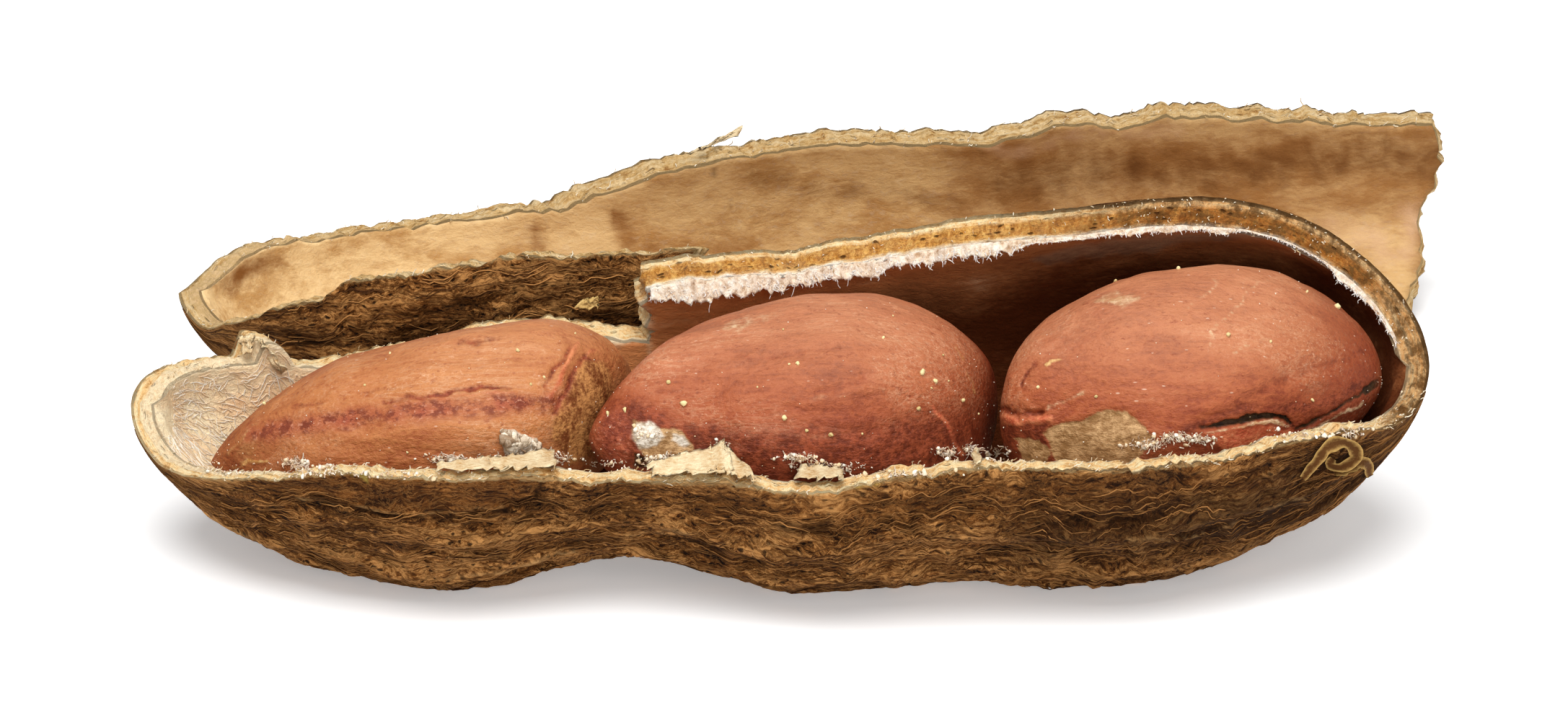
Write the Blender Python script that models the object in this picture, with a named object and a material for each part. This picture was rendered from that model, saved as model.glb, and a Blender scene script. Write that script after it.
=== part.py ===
"""An opened three-seeded peanut pod, lying on a surface with its hollows up.

The front piece of the shell holds three kernels, and keeps a hood over the middle and right ones.
The back piece lies behind it. Both are the skin of a tube whose radius swells at each lobe, round
a gently bent axis along X, torn open along the seam. A place on a shell is a station along X, and
an angle round the axis that counts from straight down, positive towards the back.

Lengths in the tables are millimetres and angles are degrees. The mesh is in metres.
"""
import math
import random

import bpy
import numpy as np

MM = 0.001

# The undersides of the lobes are worn flat by this much, which puts the surface at Z = 0.
WORN_FLAT = 0.3

# The middle of the flat spot under the front piece's middle lobe, as station x and y, is the origin.
REST_SPOT = (1.3, -0.2)

# Walls of the shell, between its outer and its inner skin.
WALL = 1.2
RIM_WALL = 0.85
RIM_WALL_REACH = 35.0
BACK_WALL = 1.05
TIP_WALL_RATIO = 1.1

# The raised net on the outside: ribs along the pod, with staggered links between them and pits
# inside its meshes.
RIB_HEIGHT = 0.48
LINK_HEIGHT = 0.28
PIT_DEPTH = 0.12
ROWS_PER_RIB = 3
STATIONS_PER_LINK = 6
RIB_SWAY = 2.2
RIB_SWAY_LENGTH = 11.0
RIB_SWAY_LAG = 0.55
RIM_RIB_SHARE = 0.35
RIB_TIP_FADE = 4.0
RIB_UNEVENNESS = 0.2
RIB_UNEVEN_TURN = 0.7
RIB_UNEVEN_LAG = 2.1

# Mesh density, as rows round the axis and stations along it. The inner skin has half of each.
STATION_POWER = 1.3
KERNEL_STATIONS = 26
KERNEL_SIDES = 20

# Each axis row: station x, centre y, centre z, radius below the axis, radius above it.
FRONT_AXIS = (
    (-26.2, 1.30, 6.75, 6.90, 6.90),
    (-20.0, 0.95, 6.65, 7.00, 7.00),
    (-13.5, 0.50, 6.85, 7.00, 6.95),
    (-6.5, 0.20, 7.10, 5.60, 6.25),
    (1.2, 0.10, 7.30, 7.35, 7.10),
    (7.6, 0.40, 7.40, 6.95, 7.25),
    (13.3, 0.80, 7.50, 7.55, 7.55),
    (20.0, 2.00, 7.90, 7.45, 7.55),
    (25.9, 2.10, 8.10, 7.60, 7.60),
)
BACK_AXIS = (
    (-24.9, 13.50, 6.05, 6.40, 6.40),
    (-13.0, 15.25, 6.65, 6.70, 6.70),
    (-5.5, 16.10, 6.65, 5.90, 6.05),
    (1.5, 16.80, 6.95, 7.00, 6.95),
    (8.5, 17.70, 6.90, 6.45, 6.60),
    (15.5, 18.60, 7.20, 7.25, 7.20),
    (27.9, 20.20, 7.30, 6.90, 6.90),
)

# Each tip closes over a length, on a curve of the given power: 0.5 is an ellipse.
FRONT_TIPS = ((16.0, 0.50), (12.0, 0.56))
BACK_TIPS = ((11.0, 0.66), None)

# The torn edges, as rows of station x and angle.
FRONT_NEAR_EDGE = (
    (-26.2, -48), (-25.0, -52), (-24.1, -65), (-22.6, -75), (-21.1, -83), (-19.6, -87.5),
    (-17.5, -92.5), (-11, -91.5), (-6.8, -86), (-4.5, -86), (-2.5, -88), (1, -86), (4, -90),
    (8.5, -93), (14, -91), (18, -89), (21.9, -87), (23.3, -81), (24.9, -66), (25.9, -45),
)
FRONT_LOW_EDGE = (
    (-26.2, 112), (-25.4, 107), (-24.6, 101), (-23.6, 97), (-22.9, 95), (-22.4, 92),
    (-22.0, 106), (-21.4, 101), (-20.7, 86), (-19.5, 83.5), (-16, 90), (-12, 96),
    (-8.4, 99), (-5.7, 98), (25.9, 98),
)
FRONT_HOOD_EDGE = (
    (-5.7, 133), (-4, 137), (-1, 129), (0.4, 126), (3.3, 133), (6.2, 142), (7.6, 152),
    (9.0, 151), (12, 150), (14.8, 156), (17.8, 150), (20.6, 154), (23.5, 149), (25.9, 146),
)
BACK_CHEEK_EDGE = (
    (-24.9, -62), (-24.0, -64), (-22.9, -86), (-21, -101), (-18.9, -104.5), (-18.0, -111),
    (-14, -112.5), (-11, -115), (-3.6, -114.5), (27.9, -114),
)
BACK_SEAM_LINE = (
    (-24.9, -20), (-3.6, -24), (4, -31), (9, -22), (16, -30), (22, -24), (27.9, -33),
)
BACK_FAR_EDGE = (
    (-24.9, 75), (-24.1, 88), (-23.4, 94), (-22, 91), (-19, 83.5), (-16, 81.5), (-11.6, 85.5),
    (-9.9, 88), (-8.6, 94), (-5.6, 108), (-3.2, 109.5), (-1.1, 107), (7.6, 106), (9.4, 107.5),
    (11.3, 111.5), (13.7, 105), (16, 106.5), (18.6, 103), (22.5, 100.5), (27.9, 97),
)
EDGE_RAG = 1.3

# The back piece's broken right end, as rows of angle and how far it stops short of its length.
BACK_BROKEN_END = ((-40, 2.4), (-10, 1.6), (15, 1.8), (40, 0.8), (60, 0.9), (80, 0.0), (100, 0.3))
BROKEN_END_REACH = 0.82

# Each kernel row: station x, centre y, centre z, and the radii above, below and to the side.
LEFT_KERNEL = (
    (-23.0, 0.60, 4.50, 2.70, 2.10, 2.40),
    (-19.8, 0.50, 5.20, 3.05, 2.90, 3.10),
    (-17.2, 0.45, 5.65, 3.35, 3.50, 3.70),
    (-14.0, 0.40, 5.95, 3.90, 3.90, 4.30),
    (-11.0, 0.40, 6.15, 4.15, 3.60, 4.25),
    (-6.5, 0.70, 6.40, 4.15, 2.90, 3.70),
)
MIDDLE_KERNEL = (
    (-7.75, -2.50, 7.10, 2.30, 2.20, 2.00),
    (-5.4, -1.00, 6.70, 3.40, 3.10, 3.00),
    (-3.1, -0.10, 6.50, 4.30, 3.70, 4.10),
    (0.6, 0.30, 6.50, 4.90, 4.70, 5.10),
    (4.4, 0.40, 6.50, 4.95, 4.60, 5.10),
    (8.25, 0.30, 6.40, 4.80, 4.20, 4.70),
)
RIGHT_KERNEL = (
    (8.9, 0.30, 7.30, 4.60, 4.20, 4.40),
    (11.9, 0.90, 7.10, 4.85, 4.80, 4.90),
    (16.5, 1.30, 7.15, 5.10, 4.90, 5.40),
    (20.5, 1.90, 7.30, 5.00, 4.10, 4.90),
    (24.0, 2.20, 7.50, 4.70, 3.20, 4.40),
)
KERNEL_FURROW = 0.09
KERNEL_FURROW_TURN = 0.35

SHELL_COLOUR = (0.46, 0.31, 0.16, 1.0)
BACK_SHELL_COLOUR = (0.56, 0.42, 0.25, 1.0)
KERNEL_COLOURS = ((0.55, 0.22, 0.11, 1.0), (0.46, 0.15, 0.08, 1.0), (0.50, 0.18, 0.11, 1.0))


def clear_scene():
    for item in list(bpy.data.objects):
        bpy.data.objects.remove(item, do_unlink=True)


def smooth_value(table, place, column):
    """A table's column at a place, on a smooth curve through its rows."""
    rows = np.array(table, dtype=float)
    keys = rows[:, 0]
    values = rows[:, column]
    slopes = np.gradient(values, keys)
    place = min(max(place, keys[0]), keys[-1])
    k = min(max(int(np.searchsorted(keys, place)) - 1, 0), len(keys) - 2)
    span = keys[k + 1] - keys[k]
    s = (place - keys[k]) / span
    start = (2 * s**3 - 3 * s**2 + 1) * values[k] + (s**3 - 2 * s**2 + s) * span * slopes[k]
    end = (3 * s**2 - 2 * s**3) * values[k + 1] + (s**3 - s**2) * span * slopes[k + 1]
    return start + end


def edge_angle(table, place):
    """An edge's angle at a station, on straight lines between its rows, as a tear runs."""
    rows = np.array(table, dtype=float)
    return float(np.interp(place, rows[:, 0], rows[:, 1]))


def tip_share(distance, tip):
    """How much of its radius a body has at a distance from a tip that closes it."""
    if tip is None:
        return 1.0
    length, power = tip
    short = 1.0 - min(max(distance / length, 0.0), 1.0)
    return max(1.0 - short * short, 0.0) ** power


def ease(value):
    value = min(max(value, 0.0), 1.0)
    return value * value * (3.0 - 2.0 * value)


def face_without_repeats(corners):
    """A face's corners in order, each once, or None where too few are left for a face."""
    kept = []
    for corner in corners:
        if corner not in kept:
            kept.append(corner)
    return kept if len(kept) > 2 else None


class Mesh:
    """Points and faces that are gathered by key, then made one object."""

    def __init__(self):
        self.points = []
        self.faces = []
        self.index = {}

    def point(self, key, place):
        if key not in self.index:
            self.index[key] = len(self.points)
            x, y, z = place
            self.points.append(((x - REST_SPOT[0]) * MM, (y - REST_SPOT[1]) * MM, z * MM))
        return self.index[key]

    def face(self, corners):
        kept = face_without_repeats(corners)
        if kept:
            self.faces.append(kept)

    def make(self, name, material):
        mesh = bpy.data.meshes.new(name)
        mesh.from_pydata(self.points, [], self.faces)
        mesh.validate()
        mesh.shade_smooth()
        mesh.materials.append(material)
        item = bpy.data.objects.new(name, mesh)
        bpy.context.scene.collection.objects.link(item)
        return item


def make_material(name, colour, roughness):
    material = bpy.data.materials.new(name)
    material.use_nodes = True
    surface = material.node_tree.nodes["Principled BSDF"]
    surface.inputs["Base Color"].default_value = colour
    surface.inputs["Roughness"].default_value = roughness
    surface.inputs["Metallic"].default_value = 0.0
    return material


class Shell:
    """One torn piece of the shell, in two bands of rows that meet along a middle line.

    The edges are the first band's free edge, the line between the bands, and the second band's
    free edge. One band runs the whole length, and the other only on one side of the break.
    """

    def __init__(self, name, axis, tips, wall, edges, rows, stations, break_at, seed):
        self.name = name
        self.axis = axis
        self.tips = tips
        self.wall = wall
        self.edges = edges
        self.rows = rows
        self.stations = stations
        self.break_at = break_at
        self.start = axis[0][0]
        self.end = axis[-1][0]
        draw = random.Random(seed)
        count = stations[0] + stations[1] + 1
        self.first_rag = [draw.uniform(-EDGE_RAG, EDGE_RAG) for _ in range(count)]
        self.second_rag = [draw.uniform(-EDGE_RAG, EDGE_RAG) for _ in range(count)]

    def station(self, i):
        """The x of a station. Stations are closer together towards a tip."""
        before, after = self.stations
        if i <= before:
            return self.start + (self.break_at - self.start) * (i / before) ** STATION_POWER
        rest = 1.0 - (i - before) / after
        power = STATION_POWER if self.tips[1] else 1.0
        return self.end - (self.end - self.break_at) * rest ** power

    def angle(self, i, j):
        """The angle of row j at station i, with the ribs' sway and the ragged edges."""
        x = self.station(i)
        first_edge, middle, second_edge = (edge_angle(edge, x) for edge in self.edges)
        first_edge += self.first_rag[i]
        second_edge += self.second_rag[i]
        if j <= self.rows[0]:
            angle = first_edge + (middle - first_edge) * j / self.rows[0]
        else:
            angle = middle + (second_edge - middle) * (j - self.rows[0]) / self.rows[1]
        within = min(j, sum(self.rows) - j) / ROWS_PER_RIB
        wave = math.sin(2 * math.pi * x / RIB_SWAY_LENGTH + RIB_SWAY_LAG * j)
        return angle + RIB_SWAY * ease(within) * wave

    def relief(self, i, j):
        """How far the net stands out of the skin at station i and row j."""
        row = j - self.rows[0]
        rib = row // ROWS_PER_RIB
        if row % ROWS_PER_RIB == 0:
            height = RIB_HEIGHT
        else:
            shift = (STATIONS_PER_LINK // 2) * (rib % 2)
            height = LINK_HEIGHT if (i + shift) % STATIONS_PER_LINK == 0 else -PIT_DEPTH
        if j in (0, sum(self.rows)):
            height *= RIM_RIB_SHARE
        x = self.station(i)
        height *= ease((x - self.start) / RIB_TIP_FADE)
        if self.tips[1]:
            height *= ease((self.end - x) / RIB_TIP_FADE)
        uneven = math.sin(RIB_UNEVEN_TURN * x + RIB_UNEVEN_LAG * rib)
        return height * (1.0 - RIB_UNEVENNESS + RIB_UNEVENNESS * uneven)

    def wall_at(self, angle, near_edge):
        """The wall's thickness, which thins towards the edge at the near side."""
        return RIM_WALL + (self.wall - RIM_WALL) * ease((angle - near_edge) / RIM_WALL_REACH)

    def place(self, i, j, inner):
        """The point of the outer or the inner skin at station i and row j."""
        x = self.station(i)
        angle = self.angle(i, j)
        inset = 0.0
        if inner:
            inset = self.wall_at(angle, self.angle(i, 0))
            low = self.start + inset * TIP_WALL_RATIO
            high = self.end - (inset * TIP_WALL_RATIO if self.tips[1] else 0.0)
            x = low + (high - low) * (x - self.start) / (self.end - self.start)
        turn = math.radians(angle)
        centre_y = smooth_value(self.axis, x, 1)
        centre_z = smooth_value(self.axis, x, 2)
        below = (1.0 + math.cos(turn)) / 2.0
        radius = smooth_value(self.axis, x, 3) * below + smooth_value(self.axis, x, 4) * (1.0 - below)
        radius -= inset
        if not inner:
            radius += self.relief(i, j)
        tips = [tip and (tip[0] - inset, tip[1]) for tip in self.tips]
        left_gap = x - self.start - inset * TIP_WALL_RATIO
        right_gap = self.end - inset * TIP_WALL_RATIO - x
        radius *= tip_share(left_gap, tips[0]) * tip_share(right_gap, tips[1])
        y = centre_y + radius * math.sin(turn)
        z = centre_z - radius * math.cos(turn) - WORN_FLAT
        if not self.tips[1]:
            x -= self.broken_back(x, angle)
        return x, y, max(z, 0.0)

    def broken_back(self, x, angle):
        """How far the open right end is broken away at an angle."""
        along = (x - self.start) / (self.end - self.start)
        share = ease((along - BROKEN_END_REACH) / (1.0 - BROKEN_END_REACH))
        return share * edge_angle(BACK_BROKEN_END, angle)

    def key(self, i, j, inner):
        """A point's key. All rows meet in one point at a closed tip."""
        at_right_tip = self.tips[1] and i == sum(self.stations)
        if i == 0 or at_right_tip:
            j = 0
        return i, j, inner

    def has_cell(self, i, j):
        """Whether the wall is there between a station and row and the next of each."""
        raise NotImplementedError

    def build(self, material):
        """Both skins, and a rim between them where a cell has no neighbour."""
        mesh = Mesh()

        def corner(i, j, inner):
            return mesh.point(self.key(i, j, inner), self.place(i, j, inner))

        cells = [
            (i, j)
            for i in range(0, sum(self.stations), 2)
            for j in range(0, sum(self.rows), 2)
            if self.has_cell(i, j)
        ]
        border = {}
        for i, j in cells:
            for step_i in (i, i + 1):
                for step_j in (j, j + 1):
                    ring = ((0, 0), (0, 1), (1, 1), (1, 0))
                    mesh.face([corner(step_i + a, step_j + b, False) for a, b in ring])
            ring = [(i, j), (i, j + 2), (i + 2, j + 2), (i + 2, j)]
            mesh.face([corner(a, b, True) for a, b in reversed(ring)])
            for k in range(4):
                border[(ring[k], ring[(k + 1) % 4])] = True
        for start, end in border:
            if (end, start) in border:
                continue
            middle = ((start[0] + end[0]) // 2, (start[1] + end[1]) // 2)
            out_start, out_middle, out_end = (corner(*spot, False) for spot in (start, middle, end))
            in_start, in_end = (corner(*spot, True) for spot in (start, end))
            if out_start == out_end:
                continue
            mesh.face((out_end, out_middle, in_end))
            mesh.face((out_middle, out_start, in_start))
            mesh.face((out_middle, in_start, in_end))
        return mesh.make(self.name, material)


class FrontShell(Shell):
    """The front piece: the hood is its second band, and runs only to the right of the break."""

    def has_cell(self, i, j):
        return j < self.rows[0] or i >= self.stations[0]


class BackShell(Shell):
    """The back piece: its cheek is the first band, and runs only to the left of the break."""

    def has_cell(self, i, j):
        return j >= self.rows[0] or i < self.stations[0]


class Kernel:
    """A kernel: an egg round a bent axis, its ends pressed slantwise by its neighbours.

    The lean says how far each end shifts along X for each millimetre towards the back.
    """

    def __init__(self, name, axis, tips, lean, furrows):
        self.name = name
        self.axis = axis
        self.tips = tips
        self.lean = lean
        self.furrows = furrows
        self.start = axis[0][0]
        self.end = axis[-1][0]

    def place(self, i, j):
        along = (1.0 - math.cos(math.pi * i / KERNEL_STATIONS)) / 2.0
        x = self.start + (self.end - self.start) * along
        turn = 2 * math.pi * j / KERNEL_SIDES
        closing = tip_share(x - self.start, self.tips[0]) * tip_share(self.end - x, self.tips[1])
        furrow = KERNEL_FURROW * (1.0 + math.sin(self.furrows * turn + KERNEL_FURROW_TURN * x))
        furrow *= math.sin(math.pi * along)
        above, below, side = (smooth_value(self.axis, x, k) * closing - furrow for k in (3, 4, 5))
        side *= math.sin(turn)
        drop = math.cos(turn) * (below if math.cos(turn) > 0 else above)
        y = smooth_value(self.axis, x, 1) + side
        z = smooth_value(self.axis, x, 2) - drop - WORN_FLAT
        x += side * (self.lean[0] * (1.0 - along) ** 2 + self.lean[1] * along**2)
        return x, y, z

    def build(self, material):
        mesh = Mesh()

        def corner(i, j):
            at_end = i in (0, KERNEL_STATIONS)
            key = (i, 0 if at_end else j % KERNEL_SIDES)
            return mesh.point(key, self.place(i, j))

        for i in range(KERNEL_STATIONS):
            for j in range(KERNEL_SIDES):
                mesh.face([corner(i, j), corner(i, j + 1), corner(i + 1, j + 1), corner(i + 1, j)])
        return mesh.make(self.name, material)


def build_shells():
    front = FrontShell(
        "shell_front", FRONT_AXIS, FRONT_TIPS, WALL,
        (FRONT_NEAR_EDGE, FRONT_LOW_EDGE, FRONT_HOOD_EDGE),
        rows=(24, 6), stations=(34, 54), break_at=-5.7, seed=3,
    )
    back = BackShell(
        "shell_back", BACK_AXIS, BACK_TIPS, BACK_WALL,
        (BACK_CHEEK_EDGE, BACK_SEAM_LINE, BACK_FAR_EDGE),
        rows=(10, 14), stations=(30, 40), break_at=-3.6, seed=8,
    )
    front.build(make_material("shell", SHELL_COLOUR, 0.85))
    back.build(make_material("shell_inside", BACK_SHELL_COLOUR, 0.85))


def build_kernels():
    kernels = (
        Kernel("kernel_left", LEFT_KERNEL, ((6.0, 0.75), (4.0, 0.33)), (0.0, 0.42), 5),
        Kernel("kernel_middle", MIDDLE_KERNEL, ((3.5, 0.6), (6.0, 0.35)), (0.22, 0.30), 4),
        Kernel("kernel_right", RIGHT_KERNEL, ((6.0, 0.36), (7.5, 0.5)), (0.30, 0.0), 4),
    )
    for kernel, colour in zip(kernels, KERNEL_COLOURS):
        kernel.build(make_material(kernel.name + "_skin", colour, 0.5))


def main():
    clear_scene()
    build_shells()
    build_kernels()


main()
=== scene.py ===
import math

import bmesh
import bpy
import numpy as np
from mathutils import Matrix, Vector


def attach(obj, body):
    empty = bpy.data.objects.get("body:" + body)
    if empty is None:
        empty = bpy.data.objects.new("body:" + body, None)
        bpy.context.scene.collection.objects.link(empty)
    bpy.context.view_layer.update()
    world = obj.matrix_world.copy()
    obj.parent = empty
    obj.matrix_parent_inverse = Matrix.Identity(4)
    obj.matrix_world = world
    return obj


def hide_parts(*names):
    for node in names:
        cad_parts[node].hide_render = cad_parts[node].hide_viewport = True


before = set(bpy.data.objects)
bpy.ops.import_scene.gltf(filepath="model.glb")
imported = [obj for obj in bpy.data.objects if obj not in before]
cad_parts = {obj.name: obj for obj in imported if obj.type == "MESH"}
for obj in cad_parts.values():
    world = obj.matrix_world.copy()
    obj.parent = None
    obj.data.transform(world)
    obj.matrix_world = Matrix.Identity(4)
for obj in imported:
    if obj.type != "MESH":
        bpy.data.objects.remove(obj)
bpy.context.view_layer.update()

MM = 0.001

# The solids' own frame: the lobes are worn flat, and the origin is under the middle lobe.
WORN_FLAT = 0.3
REST_SPOT = (1.3, -0.2)

# The camera, and the size in pixels of the picture that the marks are placed on.
PHOTO_SIZE = (2174, 996)
CAMERA_TARGET = (-1.3, 0.2, 9.07)
CAMERA_DISTANCE = 450.0
CAMERA_ELEVATION = 25.0
CAMERA_LENS = 258.9
CAMERA_SENSOR = 36.0
CAMERA_RISE = math.radians(CAMERA_ELEVATION)
AHEAD = np.array((0.0, math.cos(CAMERA_RISE), -math.sin(CAMERA_RISE)))
UP = np.array((0.0, math.sin(CAMERA_RISE), math.cos(CAMERA_RISE)))
TO_CAMERA = -AHEAD

# Walls of the shell.
WALL = 1.2
RIM_WALL = 0.85
RIM_WALL_REACH = 35.0
BACK_WALL = 1.05
TIP_WALL_RATIO = 1.1

# The raised net, and the finer relief between its ribs.
RIB_HEIGHT = 0.30
LINK_HEIGHT = 0.16
PIT_DEPTH = 0.10
ROWS_PER_RIB = 3
STATIONS_PER_LINK = 6
RIB_SWAY = 2.2
RIB_SWAY_LENGTH = 11.0
RIB_SWAY_LAG = 0.55
RIB_TIP_FADE = 4.0
WRINKLE_HEIGHT = 0.20
FIBRE_HEIGHT = 0.09
STATION_POWER = 1.3

# The radius at which an angle round the shell is counted as a length of its grain.
GRAIN_RADIUS = 7.0

# Each axis row: station x, centre y, centre z, radius below the axis, radius above it.
FRONT_AXIS = (
    (-26.2, 1.30, 6.75, 6.90, 6.90),
    (-20.0, 0.95, 6.65, 7.00, 7.00),
    (-13.5, 0.50, 6.85, 7.00, 6.95),
    (-6.5, 0.20, 7.10, 5.60, 6.25),
    (1.2, 0.10, 7.30, 7.35, 7.10),
    (7.6, 0.40, 7.40, 6.95, 7.25),
    (13.3, 0.80, 7.50, 7.55, 7.55),
    (20.0, 2.00, 7.90, 7.45, 7.55),
    (25.9, 2.10, 8.10, 7.60, 7.60),
)
BACK_AXIS = (
    (-24.9, 13.50, 6.05, 6.40, 6.40),
    (-13.0, 15.25, 6.65, 6.70, 6.70),
    (-5.5, 16.10, 6.65, 5.90, 6.05),
    (1.5, 16.80, 6.95, 7.00, 6.95),
    (8.5, 17.70, 6.90, 6.45, 6.60),
    (15.5, 18.60, 7.20, 7.25, 7.20),
    (27.9, 20.20, 7.30, 6.90, 6.90),
)
FRONT_TIPS = ((16.0, 0.50), (12.0, 0.56))
BACK_TIPS = ((11.0, 0.66), None)

# The torn edges, as rows of station x and angle.
FRONT_NEAR_EDGE = (
    (-26.2, -48), (-25.0, -52), (-24.1, -65), (-22.6, -75), (-21.1, -83), (-19.6, -87.5),
    (-17.5, -92.5), (-11, -91.5), (-6.8, -86), (-4.5, -86), (-2.5, -88), (1, -86), (4, -90),
    (8.5, -93), (14, -91), (18, -89), (21.9, -87), (23.3, -81), (24.9, -66), (25.9, -45),
)
FRONT_LOW_EDGE = (
    (-26.2, 112), (-25.4, 107), (-24.6, 101), (-23.6, 97), (-22.9, 95), (-22.4, 92),
    (-22.0, 106), (-21.4, 101), (-20.7, 86), (-19.5, 83.5), (-16, 90), (-12, 96),
    (-8.4, 99), (-5.7, 98), (25.9, 98),
)
FRONT_HOOD_EDGE = (
    (-5.7, 133), (-4, 137), (-1, 129), (0.4, 126), (3.3, 133), (6.2, 142), (7.6, 152),
    (9.0, 151), (12, 150), (14.8, 156), (17.8, 150), (20.6, 154), (23.5, 149), (25.9, 146),
)
BACK_CHEEK_EDGE = (
    (-24.9, -62), (-24.0, -64), (-22.9, -86), (-21, -101), (-18.9, -104.5), (-18.0, -111),
    (-14, -112.5), (-11, -115), (-3.6, -114.5), (27.9, -114),
)
BACK_SEAM_LINE = (
    (-24.9, -20), (-3.6, -24), (4, -31), (9, -22), (16, -30), (22, -24), (27.9, -33),
)
BACK_FAR_EDGE = (
    (-24.9, 75), (-24.1, 88), (-23.4, 94), (-22, 91), (-19, 83.5), (-16, 81.5), (-11.6, 85.5),
    (-9.9, 88), (-8.6, 94), (-5.6, 108), (-3.2, 109.5), (-1.1, 107), (7.6, 106), (9.4, 107.5),
    (11.3, 111.5), (13.7, 105), (16, 106.5), (18.6, 103), (22.5, 100.5), (27.9, 97),
)
BACK_BROKEN_END = ((-40, 2.4), (-10, 1.6), (15, 1.8), (40, 0.8), (60, 0.9), (80, 0.0), (100, 0.3))
BROKEN_END_REACH = 0.82

# Each kernel row: station x, centre y, centre z, and the radii above, below and to the side.
LEFT_KERNEL = (
    (-23.0, 0.60, 4.50, 2.70, 2.10, 2.40),
    (-19.8, 0.50, 5.20, 3.05, 2.90, 3.10),
    (-17.2, 0.45, 5.65, 3.35, 3.50, 3.70),
    (-14.0, 0.40, 5.95, 3.90, 3.90, 4.30),
    (-11.0, 0.40, 6.15, 4.15, 3.60, 4.25),
    (-6.5, 0.70, 6.40, 4.15, 2.90, 3.70),
)
MIDDLE_KERNEL = (
    (-7.75, -2.50, 7.10, 2.30, 2.20, 2.00),
    (-5.4, -1.00, 6.70, 3.40, 3.10, 3.00),
    (-3.1, -0.10, 6.50, 4.30, 3.70, 4.10),
    (0.6, 0.30, 6.50, 4.90, 4.70, 5.10),
    (4.4, 0.40, 6.50, 4.95, 4.60, 5.10),
    (8.25, 0.30, 6.40, 4.80, 4.20, 4.70),
)
RIGHT_KERNEL = (
    (8.9, 0.30, 7.30, 4.60, 4.20, 4.40),
    (11.9, 0.90, 7.10, 4.85, 4.80, 4.90),
    (16.5, 1.30, 7.15, 5.10, 4.90, 5.40),
    (20.5, 1.90, 7.30, 5.00, 4.10, 4.90),
    (24.0, 2.20, 7.50, 4.70, 3.20, 4.40),
)

# The right kernel's beak: how far it reaches to the left, and its place across and up.
RIGHT_BEAK = (0.32, -3.5, 9.0)

# Fine mesh steps: stations and rows of each outer skin, rows across the broken wall, and a
# kernel's steps along and round. An inner skin has half as many.
FRONT_FINE_STATIONS = 380
FRONT_FINE_ROWS = (144, 42)
BACK_FINE_STATIONS = 320
BACK_FINE_ROWS = (64, 90)
RIM_ROWS = 8
KERNEL_FINE = (210, 200)

# The kernels' rows are closer together round the angle that faces the camera, by this share.
SEEN_TURN = -115.0
SEEN_DENSER = 0.5

# Past this station the inner skins face the camera all the way round.
SEEN_END = 20.5

# Places in a finished shell's list of materials.
OUTSIDE, RIM, INSIDE = 0, 1, 2

# The layers that marks paint on a piece: dark red creases and painted shade, dark specks, bright red
# ridges and painted highlights on them, pale scales and veins, yellow fibres, brown rough skin and
# brown stains, partly with painted shade, bare seed, gaps that the light can't reach, bands where the
# outside of the shell is smooth, and chalky dried pulp.
LAYERS = ("dark", "speckle", "bright", "pale", "yellow", "brown", "bare", "gap", "smooth", "chalk")

# Lines on the kernels: layer, share, half width in pixels, lift in millimetres, places in the photo.
LEFT_LINES = (
    ("dark", 0.9, 3.0, -0.06, ((465, 499), (496, 495), (526, 488))),
    ("dark", 0.6, 3.0, -0.03, ((404, 564), (448, 560))),
    ("dark", 0.9, 3.0, -0.07, ((636, 478), (664, 474), (694, 471))),
    ("dark", 0.45, 9.0, 0.0, ((500, 492), (560, 475), (694, 456))),
    ("dark", 1.0, 4.0, -0.15, ((532, 558), (560, 555), (614, 548), (632, 541), (664, 536), (705, 536))),
    # Painted highlight on the ridge under the crease, over a raised line.
    ("bright", 0.5, 4.0, 0.08, ((540, 566), (560, 562), (625, 552), (668, 545), (712, 545))),
    ("dark", 0.4, 3.5, -0.03, ((503, 544), (570, 539), (640, 527))),
    ("speckle", 1.35, 14.5, 0.0, (
        (350, 600), (389, 595), (430, 588), (480, 582), (560, 573), (625, 567), (690, 561), (766, 556),
    )),
    ("dark", 0.4, 3.0, -0.03, ((560, 586), (657, 580), (701, 577), (755, 572), (770, 574))),
    ("dark", 0.8, 4.5, -0.13, ((794, 478), (779, 501), (768, 511), (755, 534))),
    ("bright", 0.7, 5.5, 0.16, ((801, 480), (785, 510), (776, 530), (764, 552))),
    ("dark", 1.0, 4.5, -0.18, ((812, 492), (796, 517), (786, 534), (775, 556), (768, 572))),
    ("dark", 1.0, 3.5, -0.13, ((811, 494), (822, 500), (842, 496))),
    ("bright", 0.7, 4.0, 0.10, ((818, 490), (832, 488), (845, 492))),
    ("dark", 0.6, 3.0, -0.04, ((832, 471), (842, 488))),
    ("yellow", 0.9, 3.0, 0.04, ((346, 599), (327, 618), (314, 630))),
    ("yellow", 0.9, 3.0, 0.05, ((322, 650), (331, 648), (343, 641), (373, 638))),
    ("yellow", 0.7, 2.5, 0.03, ((356, 588), (338, 600), (318, 614), (306, 628))),
)
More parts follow.
